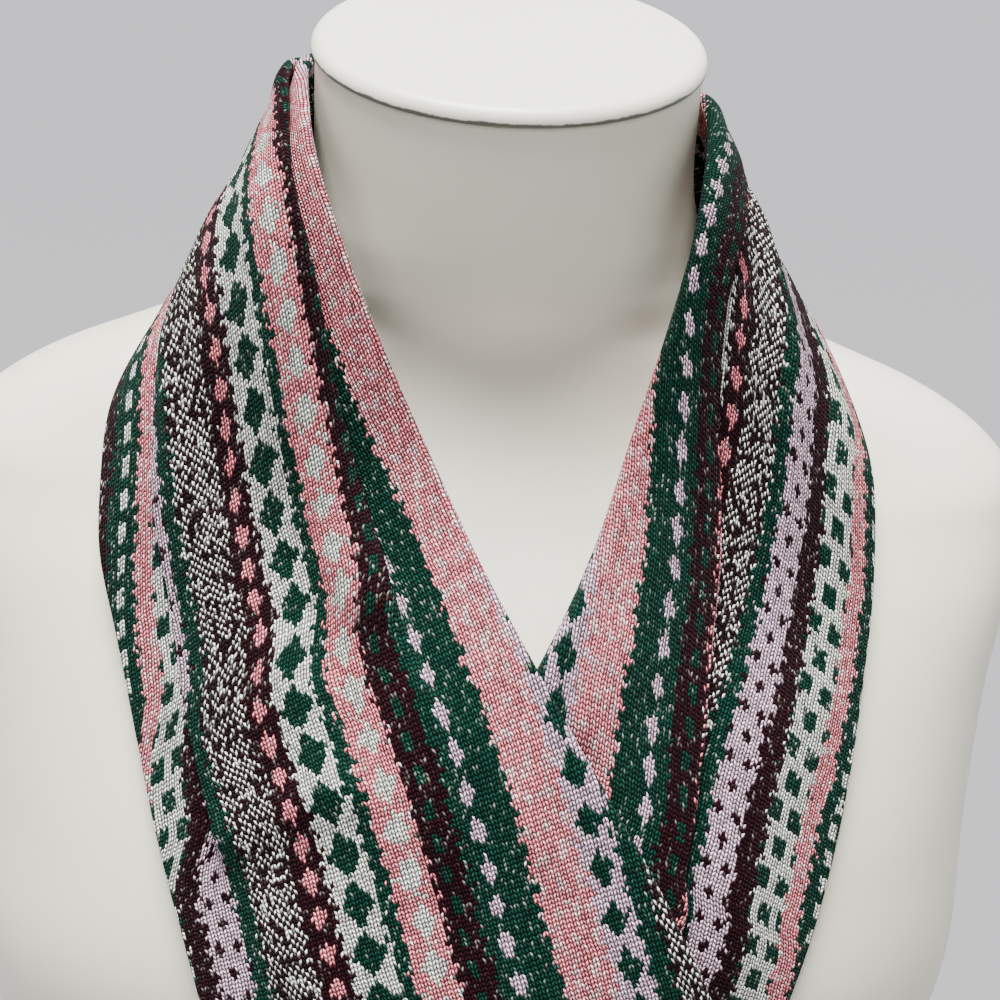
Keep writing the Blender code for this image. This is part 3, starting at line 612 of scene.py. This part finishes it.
    @staticmethod
    def settled(reach, height):
        """How far to lower the section at each reach, so that its lowest layer rests on the sheet."""
        bins = np.linspace(0, reach.max(), SETTLE_BINS + 1)
        place = np.clip((reach / reach.max() * SETTLE_BINS).round().astype(int), 0, SETTLE_BINS)
        lowest = np.full(SETTLE_BINS + 1, np.inf)
        np.minimum.at(lowest, place, height)
        lowest = np.where(np.isfinite(lowest), lowest, height.max())
        reach_bins = max(1, int(SETTLE_REACH / (bins[1] - bins[0])))
        padded = np.pad(lowest, 2 * reach_bins, "edge")
        starts = range(len(padded) - 2 * reach_bins)
        least = np.array([padded[i : i + 2 * reach_bins + 1].min() for i in starts])
        kernel = np.hanning(2 * reach_bins + 3)[1:-1]
        return np.interp(reach, bins, np.convolve(least, kernel / kernel.sum(), "valid"))

    def creased(self, station, flats, hidden, folds):
        """How far the creases lift the outer layer at one station, easing to nothing at its folds."""
        start, ridge, pleat, outer = folds
        lift = np.zeros_like(flats)
        for line, inner_slope, outer_slope, height in self.creases:
            places = [p for p, _ in line]
            if not places[0] < station < places[-1]:
                continue
            middle = hidden + float(curve_through(places, [[f] for _, f in line], station)[0, 0])
            share = (station - places[0]) / (places[-1] - places[0])
            grown = float(smooth_step(share / CREASE_FADE) * smooth_step((1 - share) / CREASE_FADE))
            away = flats - middle
            lift += height * grown * np.exp(-((away / np.where(away < 0, inner_slope, outer_slope)) ** 2))
        lift += RIPPLE * (np.sin(flats * 190 + station * 21) * np.sin(station * 37 + flats * 60) + 1)
        past_start = smooth_step((flats - start) / FOLD_MARGIN)
        before_outer = smooth_step((outer - flats) / RIDGE_MARGIN)
        if pleat < NO_PLEAT:
            return lift * past_start * before_outer
        before_ridge = smooth_step((ridge - flats) / RIDGE_MARGIN)
        past_ridge = smooth_step((flats - ridge - pleat) / RIDGE_MARGIN)
        return lift * (past_start * before_ridge + past_ridge * before_outer)

    def rows(self, stations):
        """The middle of the wall at each station, as a grid of points, and each point's flat place."""
        points, flats = [], []
        for station in stations:
            flat, reach, height = self.section(min(station, self.length))
            base, normal = self.at(station, reach)
            row = base + normal * height[:, None]
            row[:, 2] -= max(0, station - self.length)
            points.append(row)
            flats.append(flat)
        return np.array(points), np.array(flats)


# Both side edges are rounded, and the wall is thickest near each end, where the fringe is tied in.
EDGE_ROUND, EDGE_DEPTH = 0.6, 0.85
END_ROWS = (0.45, 1.1, 1.45, 1.3, 1.0)


def wall(grid, flats):
    """Points and faces of a closed wall whose middle is the grid."""
    rows, columns = grid.shape[:2]
    normals = unit(np.cross(np.gradient(grid, axis=0), np.gradient(grid, axis=1)))
    inside = np.minimum(flats, CLOTH_WIDTH - flats)
    rounded = np.sqrt(1 - (1 - np.clip(inside / (WALL * EDGE_ROUND), 0, 1)) ** 2 * EDGE_DEPTH)
    for end, share in enumerate(END_ROWS):
        rounded[[end, -1 - end]] *= share
    half = normals * (WALL / 2 * rounded)[..., None]
    points = np.concatenate([(grid + half).reshape(-1, 3), (grid - half).reshape(-1, 3)])
    back = rows * columns
    index = np.arange(back).reshape(rows, columns)
    a, b, c, d = index[:-1, :-1], index[1:, :-1], index[1:, 1:], index[:-1, 1:]
    outside = np.stack([a, b, c, d], axis=-1).reshape(-1, 4)
    faces = np.concatenate([outside, outside[:, ::-1] + back])

    def edge(line):
        return np.stack([line[:-1], line[:-1] + back, line[1:] + back, line[1:]], axis=-1)

    rims = [edge(index[:, 0]), edge(index[::-1, -1]), edge(index[0, ::-1]), edge(index[-1])]
    return points, np.concatenate([faces, *rims])


def evenly(start, end, step):
    return np.linspace(start, end, max(2, round(abs(end - start) / step) + 1))


FINE_UNTIL = 0.36
FINE_STEP, TAIL_STEP = 0.0028, 0.0042
STRIP_STATIONS = np.array((0.3, 0.6, 0.8, 0.93, 1))


def stations_of(band):
    """Stations from the back of the neck to just past the end, closer together where the cloth folds."""
    fine, tail = evenly(0, FINE_UNTIL, FINE_STEP), evenly(FINE_UNTIL, band.length, TAIL_STEP)
    return np.concatenate([fine, tail[1:], band.length + STRIP_LENGTH * STRIP_STATIONS])


COARSE_SEGMENTS, COARSE_RINGS = 72, 90
coarse_heights = np.linspace(0, FORM_TOP, COARSE_RINGS)
coarse_form = stacked_rings([form_ring(height, segments=COARSE_SEGMENTS) for height in coarse_heights])
form_tree = tree_of(*coarse_form)
under = Band(UNDER_ROWS, UNDER_TUCK, UNDER_CREASES, form_tree)
under_stations = stations_of(under)
under_grid, under_flats = under.rows(under_stations)
under_wall = wall(under_grid, under_flats)
over = Band(OVER_ROWS, OVER_TUCK, OVER_CREASES, form_tree, tree_of(*under_wall))
under.meet(over)
under_grid, under_flats = under.rows(under_stations)
over_stations = stations_of(over)
over_grid, over_flats = over.rows(over_stations)

whole_grid = np.concatenate([under_grid[::-1], over_grid[1:]])
whole_flats = np.concatenate([under_flats[::-1], over_flats[1:]])
whole_stations = np.concatenate([-under_stations[::-1], over_stations[1:]])
scarf_points, scarf_faces = wall(whole_grid, whole_flats)

# The cloth's own flat places are kept as a UV map, U along it and V across, both over FLAT_SPAN metres.
FLAT_SPAN = 1.6
flat_u = np.broadcast_to(whole_stations[:, None], whole_flats.shape) / FLAT_SPAN + 0.5
flat_map = np.stack([flat_u, whole_flats / FLAT_SPAN], axis=-1).reshape(-1, 2)
flat_map = np.concatenate([flat_map, flat_map])

# The colours of the yarns.
YARNS = {
    "green": dye(3, 54, 41),
    "maroon": dye(38, 3, 13),
    "salmon": dye(236, 134, 143),
    "pink": dye(243, 200, 202),
    "lilac": dye(220, 188, 206),
    "ivory": dye(232, 234, 224),
    "brown": dye(34, 12, 16),
    "grey": dye(150, 150, 148),
}
# Each motif: repeat across and along in stitches, half width, half height, squareness from 0 for a diamond
# to 1 for a block, and how far every other row of motifs is shifted.
MOTIFS = {
    "plain": (200, 10, 0, 0, 0, 0),
    "diamonds": (200, 11, 5.4, 5.2, 0, 0),
    "small diamonds": (200, 10, 4.0, 4.2, 0, 0),
    "dots": (200, 8, 2.6, 3.0, 0.2, 0),
    "birdseye": (6, 6, 1.8, 1.8, 0, 3),
    "checks": (8, 8, 2.2, 2.2, 1, 4),
    "seed": (2, 1, 0.6, 0.53, 1, 1),
    "dashes": (200, 7, 1.1, 2.1, 1, 0),
}
# The knit's lengthwise bands from one side edge to the other: width as a share of the whole, ground yarn,
# motif yarn, motif and the share of stitches that carry the motif yarn at random.
BANDS = (
    (14, "brown", "ivory", "seed", 0.04),
    (5, "green", "lilac", "plain", 0.0),
    (10, "lilac", "green", "small diamonds", 0.0),
    (14, "salmon", "pink", "birdseye", 0.18),
    (5, "green", "ivory", "plain", 0.0),
    (12, "green", "lilac", "dots", 0.0),
    (9, "maroon", "green", "dashes", 0.0),
    (12, "salmon", "ivory", "small diamonds", 0.10),
    (4, "green", "ivory", "plain", 0.0),
    (12, "ivory", "green", "diamonds", 0.0),
    (9, "maroon", "salmon", "dots", 0.0),
    (13, "brown", "ivory", "seed", 0.06),
    (5, "green", "lilac", "plain", 0.0),
    (10, "lilac", "maroon", "birdseye", 0.0),
    (6, "maroon", "lilac", "plain", 0.0),
    (12, "ivory", "green", "checks", 0.0),
    (6, "salmon", "pink", "plain", 0.25),
    (10, "green", "ivory", "dashes", 0.0),
    (5, "maroon", "lilac", "plain", 0.0),
    (11, "lilac", "grey", "seed", 0.10),
    (16, "brown", "ivory", "seed", 0.04),
)
LEG = 0.0009
COURSE = 0.00125
LEGS = CLOTH_WIDTH / LEG
LEG_SLANT = 1.1
YARN_WANDER = 0.0012
EDGE_STRAY, MOTIF_STRAY = 2.2, 0.25
BANDS_WIDTH = sum(band[0] for band in BANDS)
BAND_STARTS = [sum(band[0] for band in BANDS[:k]) for k in range(len(BANDS))]


def chart_ramp(recipe, place, values):
    """A ramp with one flat step for each band, read at a place from 0 to 1 across the cloth."""
    ramp = recipe.node("ValToRGB", {0: place})
    steps = ramp.socket.node.color_ramp
    steps.interpolation = "CONSTANT"
    steps.elements.remove(steps.elements[1])
    for start, value in zip(BAND_STARTS, values):
        step = steps.elements.new(start / BANDS_WIDTH) if start else steps.elements[0]
        step.position, step.color = start / BANDS_WIDTH, value
    return ramp


def chart_numbers(recipe, place, rows):
    """Four numbers from 0 to 1 for each band, kept as the colour and the alpha of a ramp."""
    ramp = chart_ramp(recipe, place, rows)
    parts = recipe.node("SeparateColor", {0: ramp})
    return parts[0], parts[1], parts[2], ramp[1]


def yarn_chart(recipe, wale, course):
    """The yarn's colour at one leg of a stitch, counted across and along, and three random numbers."""
    cell = recipe.node("CombineXYZ", {0: wale, 1: course})
    chance = recipe.node("TexWhiteNoise", {"Vector": cell}, out="Color", noise_dimensions="2D")
    chances = recipe.node("SeparateColor", {0: chance})
    # The edge between two bands steps in and out by a stitch, and some stitches stray further.
    tooth = recipe.sum("GREATER_THAN", recipe.sum("MODULO", course + 4000, 4), 1.5)
    place = (wale + tooth + (chances[0] - 0.5) * EDGE_STRAY) / LEGS
    ground = chart_ramp(recipe, place, [YARNS[band[1]] for band in BANDS])
    second = chart_ramp(recipe, place, [YARNS[band[2]] for band in BANDS])
    # A ramp holds numbers up to 1, so each size is kept as a share of the largest that it may be.
    across_most, along_most, half_most, shift_most = 200, 20, 10, 4
    layout, shapes = [], []
    for start, (width, _, _, motif, marl) in zip(BAND_STARTS, BANDS):
        across, along, wide, high, square, shift = MOTIFS[motif]
        middle = (start + width / 2) / BANDS_WIDTH
        layout.append((middle, across / across_most, along / along_most, shift / shift_most))
        shapes.append((wide / half_most, high / half_most, square, marl))
    middle, across, along, shift = chart_numbers(recipe, place, layout)
    wide, high, square, marl = chart_numbers(recipe, place, shapes)
    repeat_across, repeat_along = across * across_most, along * along_most
    # Where the leg lies in its motif's own repeat, as a share of the motif's half width and half height.
    row = recipe.sum("FLOOR", course / repeat_along)
    odd = recipe.sum("MODULO", row + 4000, 2)
    offset = odd * (shift * shift_most) + wale - recipe.sum("ROUND", middle * LEGS)
    offset = recipe.sum("ABSOLUTE", recipe.sum("WRAP", offset, repeat_across * 0.5, repeat_across * -0.5))
    rise = recipe.sum("ABSOLUTE", course - (row + 0.5) * repeat_along)
    a, b = offset / (wide * half_most), rise / (high * half_most)
    shape = recipe.node("Mix", {0: square, 2: a + b, 3: recipe.sum("MAXIMUM", a, b)})
    inside = recipe.sum("LESS_THAN", (chances[1] - 0.5) * MOTIF_STRAY + shape, 1.0)
    inside = inside * recipe.sum("GREATER_THAN", wide, 0.01)
    picked = recipe.sum("MAXIMUM", inside, recipe.sum("LESS_THAN", chances[1], marl))
    # One loop in a few shows the pale yarn that runs along behind it.
    pale = recipe.sum("POWER", chances[2], 14) * 0.18
    return recipe.blend(pale, recipe.blend(picked, ground, second), YARNS["ivory"]), chances


def knit():
    """Fine knit of smooth yarn, one V-shaped stitch to each cell of the cloth's own flat map."""
    recipe = Recipe("scarf_knit")
    metres = recipe.vector("MULTIPLY", recipe.node("UVMap", uv_map="flat"), (FLAT_SPAN,) * 3)
    wander = recipe.noise(metres, 90.0, 2.0, out="Color", noise_dimensions="2D")
    wander = recipe.vector("MULTIPLY", recipe.vector("SUBTRACT", wander, (0.5,) * 3), (YARN_WANDER,) * 3)
    place = recipe.node("SeparateXYZ", {0: recipe.vector("ADD", metres, wander)})
    side = recipe.sum("ABSOLUTE", recipe.sum("FRACT", place[1] / (2 * LEG)) - 0.5)
    # Each stitch's two legs rise outwards, so the course line bends up towards both sides of its wale.
    rise = place[0] / COURSE - side * LEG_SLANT
    course = recipe.sum("FLOOR", rise)
    along, across = recipe.sum("FRACT", rise) - 0.5, side * 4 - 1
    yarn, chances = yarn_chart(recipe, recipe.sum("FLOOR", place[1] / LEG), course)
    # The legs differ a little in breadth, and each is a rounded ridge. Its colour is darkened to near black
    # towards its sides, as painted shade in the gaps round it, and lightened at its crest, as a painted
    # highlight.
    breadth = recipe.between(chances[0], 0.0, 1.0, 1.1, 1.6)
    hump_across = recipe.sum("MAXIMUM", 1 - breadth * (across * across), 0)
    hump = hump_across * recipe.sum("MAXIMUM", 1 - along * along * 4.0, 0)
    ply = recipe.sum("SINE", across * 7.0 + along * 5.0)
    streak = recipe.node("TexWhiteNoise", {"W": course}, noise_dimensions="1D")
    fleck = recipe.between(chances[2], 0.0, 1.0, 0.62, 1.35) * recipe.between(streak, 0.0, 1.0, 0.90, 1.08)
    # Painted light: the tone follows the hump, near black in the gaps as painted shade and above one at the
    # crest as a painted highlight.
    depth = recipe.between(recipe.sum("POWER", hump, 0.75), 0.0, 0.85, 0.02, 1.25)
    colour = recipe.shade(yarn, fleck * depth * (ply * 0.08 + 1.0))
    raised = recipe.relief(chances[2] * 0.35 + (ply * 0.05 + hump), 0.0006, 1.0)
    recipe.surface(Base_Color=colour, Normal=raised, Roughness=0.6, Specular_IOR_Level=0.05)
    recipe.surface(Sheen_Weight=0.02, Sheen_Roughness=0.4)
    return recipe.material


scarf = make_piece("scarf", scarf_points, scarf_faces, knit(), sharp=70)
flat_layer = scarf.data.uv_layers.new(name="flat")
corners = np.zeros(len(scarf.data.loops), dtype=np.int32)
scarf.data.loops.foreach_get("vertex_index", corners)
flat_layer.data.foreach_set("uv", flat_map[corners].ravel().astype(np.float32))
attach(scarf, "root")
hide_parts("scarf_neck", "scarf_over_front", "scarf_under_front", "scarf_over_tail", "scarf_under_tail")

# ---- The fringe ------------------------------------------------------------------------------------------
# Bundles of the scarf's own yarns, looped through the edge at both ends, wrapped and left hanging. The
# yarns of a bundle twist round each other and open towards their cut ends.

FRINGE_LOCKS = 26
FRINGE_LENGTH = 0.080
LOCK_SIZES = (("Yarns", 8), ("Yarn radius", 0.00040), ("Lock radius", 0.0017), ("Turns", 1.4))
LOCK_POINTS, LINE_POINTS = 22, 9
LOCK_ROOT = 0.0015
LOCK_LENGTH_VARIES, LOCK_HANGS = 0.04, 0.965
LOCK_SWAY, LOCK_BEND = 0.0016, 0.0008
WRAP_TURNS, WRAP_PITCH = 3, 0.0009
WRAP_SIZE, WRAP_YARN_SIZE = 0.72, 1.15


def lock_lines(band):
    """The centre lines of one end's locks, hung from the folded edge, and each one's flat place."""
    end_flat, end_reach, end_height = band.section(band.length)
    turn = band.width(band.length)
    lines, places = [], []
    number = 0
    for start, end in ((0.0, turn), (turn, CLOTH_WIDTH)):
        count = round(FRINGE_LOCKS * (end - start) / CLOTH_WIDTH)
        for k in range(count):
            place = start + (k + 0.5) * (end - start) / count
            base, normal = band.at(band.length, np.interp([place], end_flat, end_reach))
            root = (base + normal * np.interp(place, end_flat, end_height))[0]
            root[2] -= STRIP_LENGTH - LOCK_ROOT
            length = FRINGE_LENGTH * (1 + LOCK_LENGTH_VARIES * math.sin(2.4 * number))
            sway = LOCK_SWAY * math.sin(1.7 * number)
            drops = np.linspace(0, 1, LINE_POINTS)
            across = np.array([sway * d + LOCK_BEND * math.sin(5 * d + number) * d for d in drops])
            line = root + np.stack([across, 0 * drops, -(length + LOCK_ROOT) * LOCK_HANGS * drops], axis=1)
            lines.append(line)
            places.append(place)
            number += 1
    return lines, places


def fringe_yarn():
    """The same yarns as the knit, twisted, each one coloured from the band that it hangs below."""
    recipe = Recipe("fringe_yarn")
    names = ("flat_place", "yarn_number", "along")
    place, number, along = (recipe.node("Attribute", out="Fac", attribute_name=name) for name in names)
    colour, _ = yarn_chart(recipe, recipe.sum("FLOOR", place / LEG), recipe.sum("FLOOR", number))
    fuzz = recipe.noise(recipe.node("TexCoord", out="Object"), 2600.0, 2.0)
    ply = recipe.sum("SINE", along * 420.0 + number * 2.1)
    colour = recipe.shade(colour, recipe.between(ply * 0.25 + fuzz, 0.1, 0.9, 0.6, 1.15))
    recipe.surface(Base_Color=colour, Normal=recipe.relief(ply * 0.5 + fuzz, 0.00012, 0.8), Roughness=0.62)
    recipe.surface(Sheen_Weight=0.25, Sheen_Roughness=0.4)
    return recipe.material


def fringe_tree(material):
    """Geometry nodes that turn the locks' centre lines into wrapped bundles of twisted yarns."""
    tree = bpy.data.node_groups.new("lock of yarns", "GeometryNodeTree")
    tree.interface.new_socket("Lines", in_out="INPUT", socket_type="NodeSocketGeometry")
    for name, size in LOCK_SIZES:
        kind = "NodeSocketInt" if isinstance(size, int) else "NodeSocketFloat"
        tree.interface.new_socket(name, in_out="INPUT", socket_type=kind)
    tree.interface.new_socket("Fringe", in_out="OUTPUT", socket_type="NodeSocketGeometry")
    plan = Wiring(tree)

    def attribute(name):
        return plan.node("GeometryNodeInputNamedAttribute", {"Name": name}, data_type="FLOAT")

    def stored(geometry, name, value):
        inputs = {"Geometry": geometry, "Name": name}
        made = plan.node("GeometryNodeStoreNamedAttribute", inputs, data_type="FLOAT")
        plan.feed(next(s for s in made.socket.node.inputs if s.name == "Value" and s.enabled), value)
        return made

    def chance(low, high, seed, number):
        return plan.node("FunctionNodeRandomValue", {2: low, 3: high, "ID": number, "Seed": seed}, out=1)

    def eased(value, *limits):
        return plan.between(value, *limits, interpolation_type="SMOOTHSTEP")

    def tube(line, radius, resolution=5, **inputs):
        profile = plan.node("GeometryNodeCurvePrimitiveCircle", {"Resolution": resolution, "Radius": radius})
        if line is None:
            return profile
        return plan.node("GeometryNodeCurveToMesh", {"Curve": line, "Profile Curve": profile, **inputs})

    given = plan.node("NodeGroupInput")
    yarn_radius, lock_radius = given["Yarn radius"], given["Lock radius"]
    lines = plan.node("GeometryNodeMeshToCurve", {0: given["Lines"]})
    lines = plan.node("GeometryNodeResampleCurve", {"Curve": lines, "Count": LOCK_POINTS})
    copies = {"Geometry": lines, "Amount": given["Yarns"]}
    copies = plan.node("GeometryNodeDuplicateElements", copies, domain="SPLINE")
    copy, lock = copies["Duplicate Index"], attribute("lock_number")
    seed = lock * 7.0 + copy
    along = plan.node("GeometryNodeSplineParameter", out="Factor")
    phase = along * (given["Turns"] * (2 * math.pi)) + (copy / given["Yarns"] * (2 * math.pi) + lock)
    # The bundle is narrow in its wrap, fills out below it and opens a little at the cut ends.
    radius = lock_radius * eased(along, 0.03, 0.22, 0.45, 0.85)
    radius = radius * (eased(along, 0.5, 1.0, 1.0, 1.5) * chance(0.75, 1.25, 3, seed))
    place = plan.vector("MULTIPLY", plan.node("GeometryNodeInputPosition"), (60.0, 60.0, 45.0))
    wild = {"Vector": place, "W": seed, "Scale": 1.0, "Detail": 1.0}
    wild = plan.node("TexNoise", wild, out="Color", noise_dimensions="4D")
    stir = plan.vector("SUBTRACT", wild, (0.5, 0.5, 0.5))
    stir = plan.node("VectorMath", {0: stir, "Scale": along * along * 0.0050}, operation="SCALE")
    x, y = radius * plan.sum("COSINE", phase), radius * plan.sum("SINE", phase) * 0.62
    off = plan.vector("ADD", plan.node("CombineXYZ", {0: x, 1: y}), stir)
    yarns = plan.node("GeometryNodeSetPosition", {"Geometry": copies, "Offset": off})
    yarns = stored(stored(yarns, "yarn_number", seed), "along", along)
    yarns = plan.node("GeometryNodeTrimCurve", {"Curve": yarns, "End": chance(0.94, 1.0, 8, seed)})
    strands = tube(yarns, yarn_radius, **{"Fill Caps": True})
    # The wrap is three turns of yarn round the top of each bundle, each tilted a little its own way.
    ring = tube(tube(None, lock_radius * WRAP_SIZE, 12), yarn_radius * WRAP_YARN_SIZE)
    turns = plan.node("GeometryNodeMeshLine", {"Count": WRAP_TURNS, "Offset": (0, 0, -WRAP_PITCH)})
    tilt = {0: (-0.35, -0.35, 0.0), 1: (0.35, 0.35, 6.0), "Seed": 5}
    tilt = plan.node("FunctionNodeRandomValue", tilt, data_type="FLOAT_VECTOR")
    rings = plan.node("GeometryNodeInstanceOnPoints", {"Points": turns, "Instance": ring, "Rotation": tilt})
    wraps = {"Points": given["Lines"], "Selection": attribute("is_wrap"), "Instance": rings}
    whole = plan.node("GeometryNodeJoinGeometry", {0: plan.node("GeometryNodeInstanceOnPoints", wraps)})
    plan.feed(whole.socket.node.inputs[0], strands)
    whole = plan.node("GeometryNodeRealizeInstances", {0: whole})
    whole = plan.node("GeometryNodeSetShadeSmooth", {0: whole})
    whole = plan.node("GeometryNodeSetMaterial", {"Geometry": whole, "Material": material})
    plan.feed(tree.nodes.new("NodeGroupOutput").inputs["Fringe"], whole)
    return tree


def hang_fringe(name, band, tree):
    """One end's fringe, as a plain mesh made by the tree from that end's lock lines."""
    lines, places = lock_lines(band)
    points = np.concatenate(lines)
    size = len(lines[0])
    edges = [(k * size + i, k * size + i + 1) for k in range(len(lines)) for i in range(size - 1)]
    mesh = bpy.data.meshes.new(name + "_lines")
    mesh.from_pydata([tuple(p) for p in points], edges, [])
    for key, values in (
        ("flat_place", np.repeat(places, size)),
        ("lock_number", np.repeat(np.arange(len(lines)), size)),
        ("is_wrap", (np.arange(len(points)) % size == 1) * 1.0),
    ):
        mesh.attributes.new(key, "FLOAT", "POINT").data.foreach_set("value", np.asarray(values, np.float32))
    guide = bpy.data.objects.new(name + "_lines", mesh)
    bpy.context.scene.collection.objects.link(guide)
    maker = guide.modifiers.new("locks", "NODES")
    maker.node_group = tree
    sockets = {s.name: s.identifier for s in tree.interface.items_tree if s.in_out == "INPUT"}
    for key, value in LOCK_SIZES:
        maker[sockets[key]] = value
    made = bpy.data.meshes.new_from_object(guide.evaluated_get(bpy.context.evaluated_depsgraph_get()))
    bpy.data.objects.remove(guide)
    made.name = name
    piece = bpy.data.objects.new(name, made)
    bpy.context.scene.collection.objects.link(piece)
    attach(piece, "root")
    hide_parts(name.replace("_locks", ""))
    return piece


locks = fringe_tree(fringe_yarn())
fringes = [hang_fringe("fringe_over_locks", over, locks), hang_fringe("fringe_under_locks", under, locks)]

# ---- The studio ------------------------------------------------------------------------------------------
# A plain pale floor, a broad soft light from above and a little in front, and a weak one from behind.

FLOOR_REACH = 200
floor_recipe = Recipe("studio_floor")
reach = floor_recipe.vector("LENGTH", floor_recipe.node("TexCoord", out="Object"), out=1)
tint = floor_recipe.blend(floor_recipe.between(reach, 1.0, 6.0), dye(121, 121, 123), dye(118, 118, 121))
floor_recipe.surface(Base_Color=tint, Roughness=0.9, Specular_IOR_Level=0.2)
corners = [(x * FLOOR_REACH, y * FLOOR_REACH, 0) for x, y in ((-1, -1), (1, -1), (1, 1), (-1, 1))]
floor = make_piece("studio_floor", corners, [(0, 1, 2, 3)], floor_recipe.material)

# The sky is as bright as the floor at the horizon and dim above, so that the room has no edge.
world = bpy.data.worlds.new("studio")
world.use_nodes = True
sky = Wiring(world.node_tree)
background = world.node_tree.nodes["Background"]
height = sky.node("SeparateXYZ", {0: sky.node("TexCoord", out="Generated")})[2]
sky.feed(background.inputs[0], dye(253, 253, 255))
sky.feed(background.inputs[1], sky.between(height, 0.0, 0.32, 0.88, 0.12, interpolation_type="SMOOTHSTEP"))
bpy.context.scene.world = world


def lamp(name, kind, place, aim, **settings):
    """A lamp of one kind at a place, turned to its aim."""
    data = bpy.data.lights.new(name, kind)
    for key, value in settings.items():
        setattr(data, key, value)
    light = bpy.data.objects.new(name, data)
    light.location = place
    light.rotation_mode = "QUATERNION"
    light.rotation_quaternion = (Vector(aim) - Vector(place)).to_track_quat("-Z", "Y")
    bpy.context.scene.collection.objects.link(light)


lamp("ceiling", "SUN", (0, 0, 0), (0.10, 0.16, -1), energy=15.0, angle=math.radians(34))
lamp("back", "AREA", (0.9, 1.8, 1.6), (0, 0, 0.5), energy=3, shape="SQUARE", size=1.2)

# ---- The camera ------------------------------------------------------------------------------------------
# A little above the neck cap, tipped down at the chest, as close as the photograph was taken.

CAMERA_PLACE = (-0.011, -0.644, 0.749)
SENSOR_WIDTH, FOCAL_LENGTH = 36, 75.6
CAMERA_PITCH, CAMERA_YAW, CAMERA_ROLL = (math.radians(a) for a in (15.1, 1.4, 3.1))
lens = bpy.data.cameras.new("camera")
lens.sensor_width, lens.lens = SENSOR_WIDTH, FOCAL_LENGTH
lens.clip_start = 0.01
camera = bpy.data.objects.new("camera", lens)
forward = Vector(
    (
        math.sin(CAMERA_YAW) * math.cos(CAMERA_PITCH),
        math.cos(CAMERA_YAW) * math.cos(CAMERA_PITCH),
        -math.sin(CAMERA_PITCH),
    )
)
level = Vector((math.cos(CAMERA_YAW), -math.sin(CAMERA_YAW), 0))
raised = level.cross(forward)
right = math.cos(CAMERA_ROLL) * level + math.sin(CAMERA_ROLL) * raised
up = -math.sin(CAMERA_ROLL) * level + math.cos(CAMERA_ROLL) * raised
camera.matrix_world = Matrix.Translation(CAMERA_PLACE) @ Matrix((right, up, -forward)).transposed().to_4x4()
bpy.context.scene.collection.objects.link(camera)
bpy.context.scene.camera = camera
